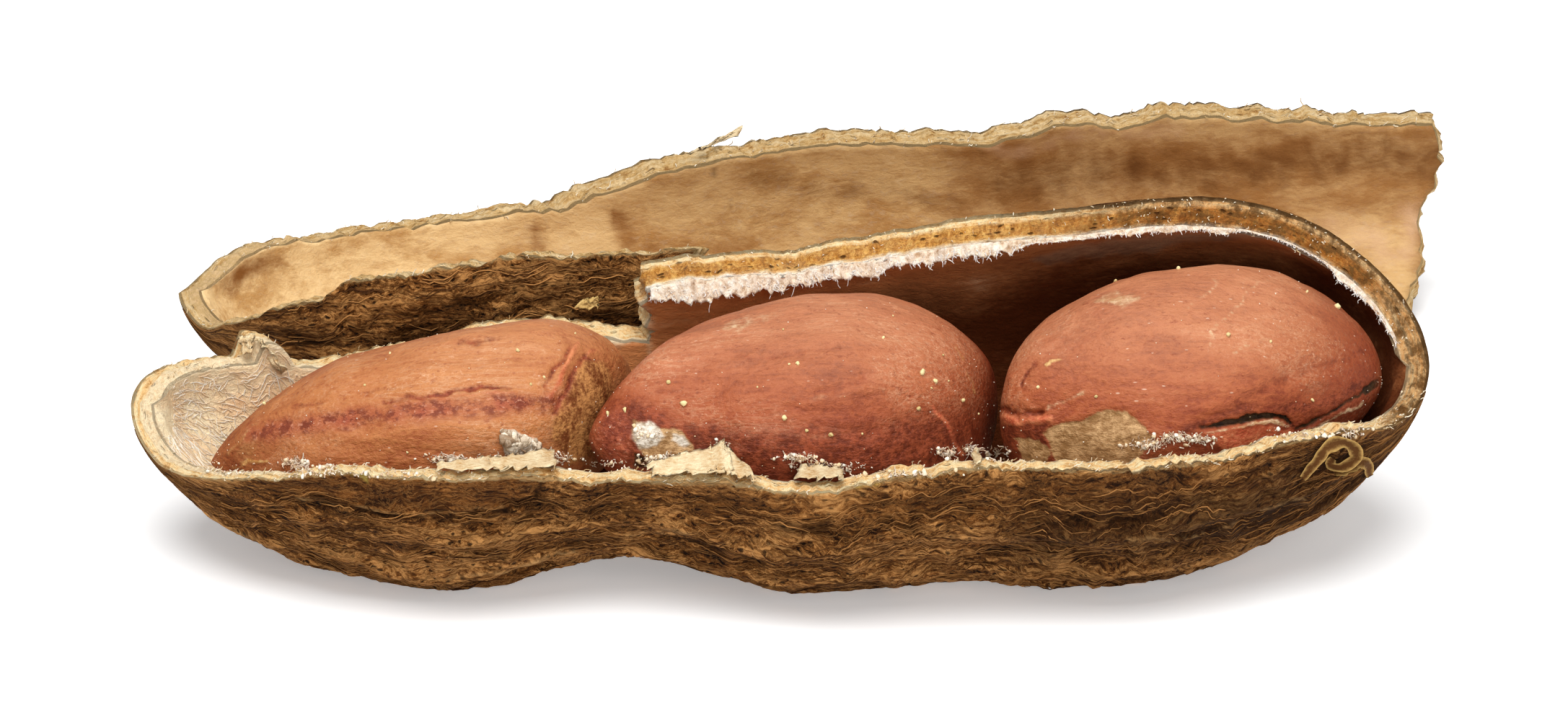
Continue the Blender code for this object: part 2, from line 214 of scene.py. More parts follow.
MIDDLE_LINES = (
    ("bright", 1.0, 4.0, 0.06, ((838, 572), (824, 588), (819, 605), (824, 620), (838, 636))),
    ("yellow", 0.8, 2.5, 0.0, ((886, 497), (873, 512))),
    ("dark", 0.5, 4.0, -0.05, ((1019, 496), (1060, 497), (1093, 491), (1130, 487), (1163, 485))),
    ("dark", 0.6, 6.0, -0.09, ((1129, 545), (1169, 538), (1183, 532), (1197, 525))),
    ("pale", 0.25, 7.0, 0.07, ((1129, 554), (1173, 548), (1201, 533), (1225, 541))),
    ("dark", 0.4, 7.0, -0.06, ((1205, 548), (1252, 560))),
    ("pale", 0.2, 7.0, 0.05, ((1070, 566), (1105, 548), (1140, 530))),
    ("dark", 0.4, 7.0, -0.06, ((1095, 562), (1130, 576), (1165, 573))),
    ("bright", 0.9, 4.0, 0.09, ((1294, 564), (1307, 584), (1322, 606), (1337, 629))),
    ("dark", 0.9, 4.0, -0.09, ((1287, 572), (1300, 593), (1318, 619))),
    ("yellow", 0.7, 2.5, 0.01, ((1340, 474), (1352, 494), (1364, 518))),
    ("yellow", 0.6, 2.5, 0.01, ((1324, 482), (1334, 501))),
    ("yellow", 0.6, 2.5, 0.01, ((1341, 518), (1352, 546))),
    ("yellow", 0.5, 2.5, 0.01, ((1356, 500), (1368, 530))),
)
RIGHT_LINES = (
    ("dark", 0.8, 3.5, -0.07, ((1437, 505), (1425, 518), (1418, 534))),
    ("bright", 0.4, 4.0, 0.09, ((1403, 462), (1399, 490), (1401, 521))),
    ("dark", 0.6, 3.0, -0.06, ((1396, 478), (1393, 512))),
    ("dark", 1.0, 5.0, -0.30, ((1381, 563), (1400, 570), (1415, 575), (1441, 575))),
    ("bright", 0.7, 6.0, 0.12, ((1384, 578), (1411, 582), (1456, 581))),
    ("yellow", 1.0, 3.0, 0.07, ((1452, 505), (1467, 498))),
    ("pale", 0.6, 2.5, 0.01, ((1745, 397), (1728, 407), (1721, 425), (1693, 447), (1681, 461), (1679, 482))),
    ("pale", 0.5, 2.5, 0.01, ((1660, 371), (1688, 395), (1671, 414), (1639, 430))),
    ("pale", 0.5, 2.5, 0.01, ((1714, 489), (1740, 474), (1762, 470))),
    ("pale", 0.6, 3.5, 0.0, ((1452, 570), (1475, 556), (1501, 546))),
    ("dark", 0.5, 9.0, -0.09, ((1887, 491), (1821, 510), (1773, 529), (1733, 555), (1667, 586))),
    ("gap", 1.0, 2.6, -0.20, (
        (1664, 593), (1697, 586), (1733, 578), (1762, 577), (1785, 582), (1795, 593), (1813, 590),
        (1844, 572), (1867, 559), (1889, 543), (1907, 527), (1921, 520),
    )),
    ("dark", 0.8, 9.0, 0.0, ((1640, 600), (1697, 574), (1740, 564), (1800, 566), (1850, 556), (1900, 522))),
    ("pale", 0.7, 2.5, 0.05, ((1812, 597), (1840, 585), (1866, 571), (1890, 557))),
    ("pale", 0.8, 2.5, 0.05, ((1672, 601), (1703, 594), (1733, 586), (1762, 584), (1784, 590))),
)

# Areas on the kernels: layer, share, soft border in pixels, lift in millimetres, outline.
LEFT_AREAS = (
    ("brown", 1.0, 9.0, -0.05, (
        (812, 499), (844, 499), (866, 520), (876, 545), (840, 590), (822, 640), (790, 645),
        (765, 612), (770, 566),
    )),
    ("yellow", 0.35, 25.0, 0.0, ((262, 645), (300, 596), (346, 566), (372, 610), (350, 655), (280, 660))),
    ("chalk", 1.0, 4.0, 0.22, (
        (700, 599), (714, 596), (728, 605), (744, 609), (752, 620), (742, 632), (704, 631), (697, 614),
    )),
)
MIDDLE_AREAS = (
    # Painted shade over the middle kernel's lower left end.
    ("dark", 0.75, 14.0, -0.03, (
        (836, 572), (872, 556), (905, 560), (940, 585), (1010, 590), (1004, 618), (960, 645),
        (843, 645), (822, 612),
    )),
    ("speckle", 1.0, 6.0, 0.0, ((836, 576), (868, 570), (874, 592), (868, 636), (842, 640), (826, 606))),
    ("bright", 0.9, 2.5, 0.06, ((859, 605), (868, 624), (854, 626))),
    ("bare", 1.0, 3.5, -0.05, (
        (878, 584), (895, 588), (912, 592), (936, 594), (945, 602), (958, 613), (963, 626),
        (938, 633), (895, 635), (882, 614), (872, 596),
    )),
    ("chalk", 1.0, 6.0, 0.06, (
        (876, 588), (900, 586), (914, 592), (922, 604), (910, 618), (888, 622), (874, 606),
    )),
    ("chalk", 0.7, 4.0, 0.03, ((932, 600), (948, 606), (958, 616), (946, 622), (932, 612))),
    ("gap", 0.7, 4.0, -0.10, ((876, 628), (896, 634), (898, 650), (878, 650))),
    ("pale", 0.48, 7.0, 0.0, ((1008, 438), (1084, 422), (1100, 432), (1042, 448), (1024, 462), (1000, 460))),
    # Painted shade over the middle kernel's lower part.
    ("dark", 0.90, 50.0, 0.0, ((860, 600), (1000, 598), (1180, 590), (1350, 570), (1400, 700), (860, 700))),
)
RIGHT_AREAS = (
    ("dark", 1.0, 4.0, 0.0, ((1386, 588), (1456, 588), (1444, 604), (1460, 640), (1418, 642), (1398, 612))),
    ("bare", 1.0, 2.5, -0.08, (
        (1445, 603), (1460, 591), (1497, 585), (1517, 575), (1537, 567), (1562, 571), (1578, 585),
        (1597, 603), (1570, 655), (1472, 655), (1456, 621),
    )),
    ("bare", 0.8, 2.5, -0.04, ((1407, 606), (1440, 612), (1459, 630), (1450, 650), (1420, 640))),
    ("gap", 1.0, 2.0, -0.20, (
        (1668, 592), (1697, 585), (1724, 576), (1742, 573), (1784, 577), (1797, 594), (1788, 588),
        (1769, 581), (1742, 581), (1719, 586), (1693, 592),
    )),
    ("gap", 1.0, 2.0, -0.15, ((1887, 546), (1907, 526), (1922, 520), (1922, 531), (1908, 541), (1893, 550))),
    ("pale", 0.48, 6.0, 0.0, ((1512, 420), (1546, 404), (1582, 416), (1558, 432))),
    # Painted shade over the right kernel's lower right end.
    ("dark", 0.45, 60.0, 0.0, ((1640, 600), (1800, 560), (1920, 470), (1980, 640), (1640, 680))),
    ("bright", 0.6, 5.0, 0.03, (
        (1668, 600), (1714, 590), (1762, 587), (1790, 598), (1760, 625), (1700, 625),
    )),
    ("dark", 0.35, 30.0, 0.0, ((1420, 470), (1500, 380), (1600, 400), (1540, 470), (1450, 560))),
)

# What each layer paints on a kernel's skin: two tones, and how much it breaks up.
SKIN_PAINTS = (
    ("yellow", (0.50, 0.22, 0.06), (0.84, 0.58, 0.24), 1.6),
    ("brown", (0.17, 0.044, 0.010), (0.60, 0.27, 0.085), 1.1),
    ("dark", (0.13, 0.021, 0.007), (0.33, 0.070, 0.026), 1.6),
    ("bright", (0.50, 0.090, 0.038), (0.74, 0.25, 0.110), 0.6),
    ("pale", (0.50, 0.26, 0.12), (0.82, 0.62, 0.38), 3.2),
    ("bare", (0.30, 0.150, 0.052), (0.62, 0.375, 0.175), 0.5),
    ("chalk", (0.40, 0.30, 0.20), (0.92, 0.84, 0.72), 1.4),
    ("gap", (0.022, 0.009, 0.003), (0.07, 0.032, 0.010), 0.8),
)

# Stains, creases and painted shade inside the back piece: the wide brown and dark marks at the right are
# stains and painted shade on its far wall.
LID_LINES = (
    ("gap", 0.7, 4.0, -0.15, ((988, 235), (1002, 255), (1010, 280), (1006, 305))),
    ("dark", 0.5, 7.0, 0.10, ((1345, 190), (1368, 225), (1376, 270))),
    ("brown", 0.9, 16.0, 0.0, ((318, 395), (345, 372), (380, 362))),
    ("brown", 1.0, 14.0, 0.0, ((858, 298), (866, 322), (872, 342))),
    ("brown", 0.7, 16.0, 0.0, ((742, 318), (748, 345))),
    ("brown", 0.9, 42.0, 0.0, ((1400, 225), (1480, 215), (1560, 205), (1620, 230), (1760, 215), (1880, 210))),
    # Painted shade along the right part of the far wall.
    ("dark", 0.70, 40.0, 0.0, ((1390, 255), (1520, 238), (1700, 240), (1900, 215), (1990, 225))),
    ("dark", 0.45, 26.0, 0.0, ((1050, 245), (1130, 262), (1230, 262), (1330, 285))),
    ("pale", 0.5, 14.0, 0.0, ((1345, 190), (1400, 215), (1480, 190), (1640, 180))),
    ("pale", 0.6, 30.0, 0.0, ((1840, 320), (1900, 330), (1940, 360), (1960, 300))),
    ("brown", 0.6, 18.0, 0.0, ((900, 345), (960, 350), (1040, 345))),
)
LID_AREAS = (
    # Stains and painted shade over the right part.
    ("brown", 0.62, 45.0, 0.0, ((1300, 170), (2030, 160), (2000, 300), (1840, 330), (1300, 330))),
    ("brown", 0.50, 30.0, 0.0, ((1960, 160), (2040, 160), (2000, 480), (1940, 480))),
)

# The smooth band under the near rim, its creases, and long strands and recesses on the outside. The creases
# and recesses are painted dark as shade, and the right end has painted shade.
OUTSIDE_LINES = (
    ("dark", 0.9, 5.0, -0.14, (
        (432, 690), (470, 702), (520, 714), (575, 719), (620, 719), (700, 711), (742, 690),
    )),
    ("pale", 0.55, 3.0, 0.04, ((409, 690), (450, 696), (520, 707), (574, 713), (630, 712), (700, 704))),
    ("dark", 0.8, 5.0, -0.12, ((742, 690), (752, 668), (735, 715), (712, 728))),
    ("yellow", 0.9, 6.0, 0.05, ((488, 655), (505, 654), (508, 662))),
    ("pale", 0.7, 3.5, 0.08, ((620, 800), (689, 795), (735, 782), (771, 767), (800, 764))),
    ("pale", 0.5, 3.0, 0.06, ((240, 690), (300, 722), (360, 752), (430, 790), (500, 800))),
    ("pale", 0.5, 3.0, 0.06, ((860, 742), (930, 736), (1000, 742), (1060, 752), (1120, 770))),
    ("pale", 0.5, 3.0, 0.06, ((1560, 745), (1640, 748), (1700, 730), (1760, 702), (1810, 690))),
    ("dark", 0.7, 9.0, -0.14, ((1080, 728), (1115, 738), (1150, 728))),
    ("dark", 0.7, 8.0, -0.12, ((1230, 730), (1270, 733))),
    ("dark", 0.7, 9.0, -0.12, ((1370, 764), (1430, 760), (1500, 766))),
    ("dark", 0.6, 8.0, -0.10, ((430, 770), (460, 784), (500, 790))),
    ("dark", 0.6, 7.0, -0.10, ((640, 766), (680, 772), (720, 764))),
    ("yellow", 0.8, 9.0, 0.05, ((1190, 668), (1215, 666))),
    ("dark", 0.8, 4.0, -0.08, ((1528, 648), (1560, 655), (1600, 650), (1622, 655))),
)
OUTSIDE_AREAS = (
    ("smooth", 1.0, 9.0, 0.0, (
        (330, 655), (420, 655), (560, 658), (700, 655), (765, 655), (752, 680), (700, 704), (620, 712),
        (520, 706), (440, 688), (360, 672),
    )),
    ("smooth", 0.6, 16.0, 0.0, (
        (860, 675), (1000, 682), (1200, 684), (1400, 668), (1600, 655), (1700, 655), (1760, 640),
        (1740, 672), (1600, 700), (1400, 718), (1200, 722), (1000, 712), (880, 700),
    )),
    # Painted shade over the outside's right end.
    ("dark", 0.62, 60.0, 0.0, (
        (1380, 690), (1700, 655), (1900, 600), (1990, 560), (1990, 700), (1800, 780), (1400, 800),
    )),
)

# The cheek of the back piece is darkest under its left cup.
CHEEK_AREAS = (
    ("dark", 0.30, 30.0, 0.0, ((300, 440), (440, 435), (480, 450), (480, 500), (420, 500))),
)

# The front piece's inner skin: brown under the hood, dark painted shade deeper under the hood and in the gaps
# between the kernels, and brown by the left kernel's tip.
FRONT_INSIDE_AREAS = (
    ("pale", 0.9, 7.0, 0.0, (
        (1425, 360), (1474, 344), (1541, 331), (1608, 322), (1764, 320), (1769, 331), (1652, 335),
        (1617, 342), (1603, 352), (1563, 353), (1510, 359), (1452, 368),
    )),
    ("brown", 1.0, 12.0, 0.0, (
        (882, 396), (1000, 372), (1240, 330), (1500, 300), (1960, 300), (1960, 600), (1000, 560),
        (900, 500), (897, 450),
    )),
    # Painted shade under the hood, and in the gaps between the kernels.
    ("dark", 1.0, 120.0, 0.0, ((1180, 430), (1480, 330), (1880, 330), (1990, 420), (1990, 660), (1150, 560))),
    ("dark", 1.0, 8.0, 0.0, ((1340, 470), (1430, 470), (1435, 670), (1335, 670))),
    ("dark", 1.0, 8.0, 0.0, ((800, 560), (850, 540), (855, 670), (795, 670))),
    ("brown", 1.0, 10.0, 0.0, ((838, 478), (900, 470), (905, 520), (850, 550))),
    ("brown", 0.34, 12.0, 0.0, ((300, 560), (372, 515), (440, 500), (440, 560), (330, 610))),
)

# Crumbs on the kernels: a place in the photo, and a radius in millimetres.
CRUMBS = (
    (949, 558, 0.16), (1086, 580, 0.14), (865, 568, 0.14), (839, 570, 0.10), (926, 528, 0.10),
    (1106, 502, 0.10), (1092, 503, 0.07), (1049, 534, 0.06), (1087, 455, 0.06), (1282, 515, 0.15),
    (1300, 527, 0.12), (1317, 528, 0.07), (1296, 536, 0.06), (1275, 568, 0.11), (1153, 604, 0.14),
    (1117, 598, 0.10), (1238, 436, 0.06), (1226, 463, 0.07), (1312, 491, 0.06), (1362, 573, 0.06),
    (1197, 602, 0.07), (1340, 556, 0.10), (1544, 383, 0.10), (1633, 368, 0.12), (1703, 462, 0.11),
    (1858, 423, 0.13), (1814, 401, 0.07), (1763, 470, 0.08), (1821, 556, 0.09), (1436, 535, 0.08),
    (1521, 549, 0.07), (538, 486, 0.08), (719, 484, 0.10), (504, 531, 0.06), (737, 533, 0.08),
    (757, 520, 0.09), (563, 627, 0.07), (800, 458, 0.08), (357, 545, 0.10),
)

# Grey lumps of dried pulp by the left kernel: a place in the photo, and a radius in millimetres.
GREY_LUMPS = ((706, 610, 0.36), (713, 622, 0.30), (729, 611, 0.26), (748, 619, 0.20), (698, 600, 0.18))

# Lint on the near rim and round the kernels: a place in the photo, how far it spreads sideways in
# pixels, how many fibres it has, and a length in millimetres. Each fibre has a share of that.
LINT = (
    (408, 642, 14, 90, 0.75), (456, 646, 7, 30, 0.45), (428, 652, 22, 50, 0.40),
    (620, 637, 16, 90, 0.65), (655, 641, 24, 80, 0.45), (700, 638, 24, 80, 0.50),
    (750, 630, 18, 60, 0.50), (782, 640, 15, 40, 0.50), (903, 640, 16, 70, 0.45),
    (925, 636, 14, 60, 0.45), (968, 632, 18, 60, 0.60), (1000, 618, 9, 40, 0.50),
    (1106, 636, 14, 90, 0.65), (1135, 650, 24, 90, 0.45), (1175, 652, 18, 60, 0.40),
    (1316, 628, 11, 70, 0.70), (1351, 626, 7, 50, 0.75), (1382, 630, 9, 50, 0.65),
    (1240, 655, 40, 60, 0.40), (1590, 618, 20, 90, 0.50), (1633, 608, 22, 130, 0.60),
    (1668, 612, 14, 60, 0.45), (1874, 603, 12, 50, 0.40), (1800, 600, 40, 60, 0.35),
    (520, 655, 60, 60, 0.30), (840, 645, 22, 40, 0.40), (318, 652, 24, 40, 0.35),
    (900, 603, 12, 36, 0.16), (885, 596, 5, 12, 0.12),
)
LINT_SHARE = (0.10, 0.32)

# A curl of torn fibre on the outside, at the right: a path in the photo, and its other end.
CURLS = (
    (
        (1806, 664), (1815, 652), (1829, 637), (1840, 621), (1858, 614), (1875, 620), (1880, 634),
        (1864, 648), (1845, 646), (1848, 636),
    ),
    ((1850, 656), (1868, 650), (1884, 642), (1896, 645), (1900, 661)),
)
CURL_HALF_WIDTH = 0.25
CURL_STEPS = 40
CURL_SIDES = 12

# Flat torn bits: whose they are, four corners in the photo, and how far they stand out in millimetres.
FLAKES = (
    ("chip", "front", ((797, 426), (817, 411), (830, 414), (829, 430)), 0.25),
    ("sliver", "back", ((956, 214), (982, 203), (1031, 174), (1024, 188)), 0.30),
    ("flap", "all", ((896, 644), (990, 620), (1006, 656), (905, 660)), 0.20),
    ("flap_top", "all", ((966, 632), (1004, 611), (1018, 652), (980, 655)), 0.24),
    ("flap_end", "all", ((1002, 616), (1012, 624), (1056, 664), (1006, 660)), 0.18),
    ("membrane", "all", ((606, 642), (700, 633), (704, 650), (606, 653)), 0.18),
    ("membrane_end", "all", ((676, 638), (766, 622), (772, 648), (684, 651)), 0.20),
    ("rim_tuft", "all", ((1112, 646), (1165, 650), (1170, 664), (1104, 662)), 0.15),
    ("rim_thorn", "all", ((1346, 632), (1354, 622), (1362, 640), (1350, 645)), 0.20),
    ("tooth_tip", "front", ((330, 466), (352, 469), (350, 488), (338, 490)), 0.10),
    ("tooth_side", "front", ((354, 469), (366, 478), (398, 514), (386, 518)), 0.12),
    ("rim_scale", "front", ((1560, 612), (1600, 598), (1640, 596), (1600, 622)), 0.40),
    ("rim_shred", "front", ((1620, 606), (1662, 594), (1680, 604), (1650, 614)), 0.40),
)
FLAKE_GRID = (15, 9)
FLAKE_BACK = np.array((0.0, 0.081, 0.027))

# How many sides a torn fibre has, and how deeply a crumb is dented, in shares of its radius.
FIBRE_SIDES = 3
CRUMB_DENTS = 1.7

# How far the white lining hangs from the hood's inner edge, as rows of station x and length.
LINING_HANG = (
    (-5.7, 0.45), (-4.9, 0.60), (-3.9, 1.00), (-2.0, 0.78), (0.4, 0.60), (3.0, 0.62), (4.7, 0.47),
    (7.6, 0.50), (9.6, 0.48), (10.2, 0.20), (13.2, 0.16), (14.2, 0.26), (18.6, 0.20), (19.4, 0.05),
    (22.6, 0.05), (23.2, 0.40), (24.6, 0.35),
)
LINING_ROWS = 7
LINING_THICKNESS = 0.07


def ease(value):
    value = np.clip(value, 0.0, 1.0)
    return value * value * (3.0 - 2.0 * value)


def smooth_value(table, place, column):
    """A table's column at many places, on a smooth curve through its rows."""
    rows = np.array(table, dtype=float)
    keys = rows[:, 0]
    values = rows[:, column]
    slopes = np.gradient(values, keys)
    place = np.clip(place, keys[0], keys[-1])
    k = np.clip(np.searchsorted(keys, place) - 1, 0, len(keys) - 2)
    span = keys[k + 1] - keys[k]
    s = (place - keys[k]) / span
    start = (2 * s**3 - 3 * s**2 + 1) * values[k] + (s**3 - 2 * s**2 + s) * span * slopes[k]
    end = (3 * s**2 - 2 * s**3) * values[k + 1] + (s**3 - s**2) * span * slopes[k + 1]
    return start + end


def edge_angle(table, place):
    rows = np.array(table, dtype=float)
    return np.interp(place, rows[:, 0], rows[:, 1])


def tip_share(distance, tip):
    """How much of its radius a body has at a distance from a tip that closes it."""
    if tip is None:
        return np.ones_like(distance)
    length, power = tip
    short = 1.0 - np.clip(distance / length, 0.0, 1.0)
    return np.maximum(1.0 - short * short, 0.0) ** power


class Noise:
    """Smooth noise in three dimensions, about -1 to 1, the same on every run."""

    def __init__(self, seed):
        draw = np.random.default_rng(seed)
        order = draw.permutation(256)
        self.order = np.concatenate([order, order, order])
        slopes = draw.normal(size=(256, 3))
        self.slopes = slopes / np.linalg.norm(slopes, axis=1)[:, None]

    def __call__(self, x, y, z=0.0):
        x, y, z = np.broadcast_arrays(np.asarray(x, float), y, z)
        cells = [np.floor(v).astype(int) for v in (x, y, z)]
        parts = [v - cell for v, cell in zip((x, y, z), cells)]
        fades = [v * v * v * (v * (v * 6 - 15) + 10) for v in parts]
        total = 0.0
        for corner in range(8):
            step = (corner & 1, corner >> 1 & 1, corner >> 2 & 1)
            at = [(cell + a) & 255 for cell, a in zip(cells, step)]
            slope = self.slopes[self.order[self.order[self.order[at[0]] + at[1]] + at[2]]]
            height = sum(slope[..., k] * (parts[k] - step[k]) for k in range(3))
            for fade, a in zip(fades, step):
                height = height * (fade if a else 1.0 - fade)
            total = total + height
        return total * 1.6

    def ridges(self, x, y, z=0.0):
        """Sharp crests about 1 high, with broad hollows between them."""
        return 1.0 - 2.0 * np.abs(self(x, y, z))


def photo_place(places):
    """Where points of the part show in the photo, in its pixels, with how far off they are."""
    offset = places - (np.array(CAMERA_TARGET) - AHEAD * CAMERA_DISTANCE)
    away = offset @ AHEAD
    pixels = CAMERA_LENS / CAMERA_SENSOR * PHOTO_SIZE[0] / away
    return PHOTO_SIZE[0] / 2 + offset[..., 0] * pixels, PHOTO_SIZE[1] / 2 - offset @ UP * pixels, away


def photo_point(x, y, away):
    """The point of the part that a pixel of the photo shows at a distance from the camera."""
    size = away * CAMERA_SENSOR / CAMERA_LENS / PHOTO_SIZE[0]
    across = np.array((1.0, 0.0, 0.0)) * (x - PHOTO_SIZE[0] / 2) * size
    centre = np.array(CAMERA_TARGET) + AHEAD * (away - CAMERA_DISTANCE)
    return centre + across - UP * (y - PHOTO_SIZE[1] / 2) * size


def line_distance(x, y, line):
    """The distance in pixels from points of the photo to a line of points."""
    nearest = np.full(np.shape(x), 1e9)
    for (x0, y0), (x1, y1) in zip(line, line[1:]):
        run = np.array((x1 - x0, y1 - y0), float)
        share = np.clip(((x - x0) * run[0] + (y - y0) * run[1]) / (run @ run), 0.0, 1.0)
        nearest = np.minimum(nearest, np.hypot(x - x0 - share * run[0], y - y0 - share * run[1]))
    return nearest


def area_depth(x, y, outline):
    """How many pixels inside a closed outline a point lies, or how many outside as a minus."""
    closed = (*outline, outline[0])
    inside = np.zeros(np.shape(x), bool)
    for (x0, y0), (x1, y1) in zip(closed, closed[1:]):
        if y0 != y1:
            crosses = x < (x1 - x0) * (y - y0) / (y1 - y0) + x0
            inside ^= ((y0 > y) != (y1 > y)) & crosses
    distance = line_distance(x, y, closed)
    return np.where(inside, distance, -distance)


def paint(places, seen, lines, areas):
    """The lift and each layer's share that marks on the photo give to points of a piece."""
    x, y, _ = photo_place(places)
    wander = Noise(83)
    strength = 0.80 + 0.45 * wander(x / 26.0, y / 26.0, 7.0)
    bent_x = x + 4.0 * wander(x / 24.0, y / 24.0) + 2.2 * wander(x / 8.0, y / 8.0, 3.0)
    bent_y = y + 4.0 * wander(x / 24.0, y / 24.0, 11.0) + 2.2 * wander(x / 8.0, y / 8.0, 14.0)
    lift = np.zeros(np.shape(x))
    layers = {name: np.zeros(np.shape(x)) for name in LAYERS}
    for layer, share, width, raised, line in lines:
        near = np.exp(-((line_distance(bent_x, bent_y, line) / width) ** 2)) * seen * strength
        lift += raised * near
        layers[layer] = np.maximum(layers[layer], share * near)
    for layer, share, border, raised, outline in areas:
        near = ease(0.5 + area_depth(bent_x, bent_y, outline) / (2.0 * border)) * seen
        lift += raised * near
        layers[layer] = np.maximum(layers[layer], share * near)
    return lift, layers


def to_part(x, y, z):
    """Points in the part's own frame, from points round the pod's axis."""
    return np.stack([x - REST_SPOT[0], y - REST_SPOT[1], np.maximum(z - WORN_FLAT, 0.0)], axis=-1)


def set_values(mesh, name, values):
    """Gives each point of a mesh its named number or vector."""
    values = np.asarray(values, np.float32).ravel()
    vector = len(values) == 3 * len(mesh.vertices)
    attribute = mesh.attributes.new(name, "FLOAT_VECTOR" if vector else "FLOAT", "POINT")
    attribute.data.foreach_set("vector" if vector else "value", values)


def put_in_scene(name, data):
    item = bpy.data.objects.new(name, data)
    bpy.context.scene.collection.objects.link(item)
    return item


class Body:
    """Points, faces and values of one mesh, gathered part by part."""

    def __init__(self):
        self.points = []
        self.count = 0
        self.faces = []
        self.finishes = []
        self.values = {}

    def add_points(self, places, **values):
        """Adds points with their named values, and gives their numbers in the same layout."""
        flat = places.reshape(-1, 3)
        first = self.count
        for name, value in values.items():
            parts = self.values.setdefault(name, [])
            size = 3 if np.shape(value)[-1:] == (3,) and np.ndim(value) == places.ndim else 1
            parts.append((first, np.asarray(value, float).reshape(len(flat), size)))
        self.points.append(flat)
        self.count += len(flat)
        return np.arange(first, self.count).reshape(places.shape[:-1])

    def add_faces(self, corners, finish):
        """Adds faces of three or four corners, and drops the corners that a pole repeats."""
        for face in np.asarray(corners).reshape(-1, np.shape(corners)[-1]).tolist():
            kept = list(dict.fromkeys(face))
            if len(kept) > 2:
                self.faces.append(kept)
                self.finishes.append(finish)

    def make(self, name, materials):
        points = np.concatenate(self.points) * MM
        used = np.unique(np.concatenate([np.array(face) for face in self.faces]))
        renumber = np.full(self.count, -1)
        renumber[used] = np.arange(len(used))
        renumber = renumber.tolist()
        faces = [[renumber[corner] for corner in face] for face in self.faces]
        mesh = bpy.data.meshes.new(name)
        mesh.from_pydata(points[used].tolist(), [], faces)
        for material in materials:
            mesh.materials.append(material)
        mesh.polygons.foreach_set("material_index", self.finishes)
        for key, parts in self.values.items():
            full = np.zeros((self.count, parts[0][1].shape[1]))
            for first, value in parts:
                full[first:first + len(value)] = value
            set_values(mesh, key, full[used])
        mesh.shade_smooth()
        return put_in_scene(name, mesh)


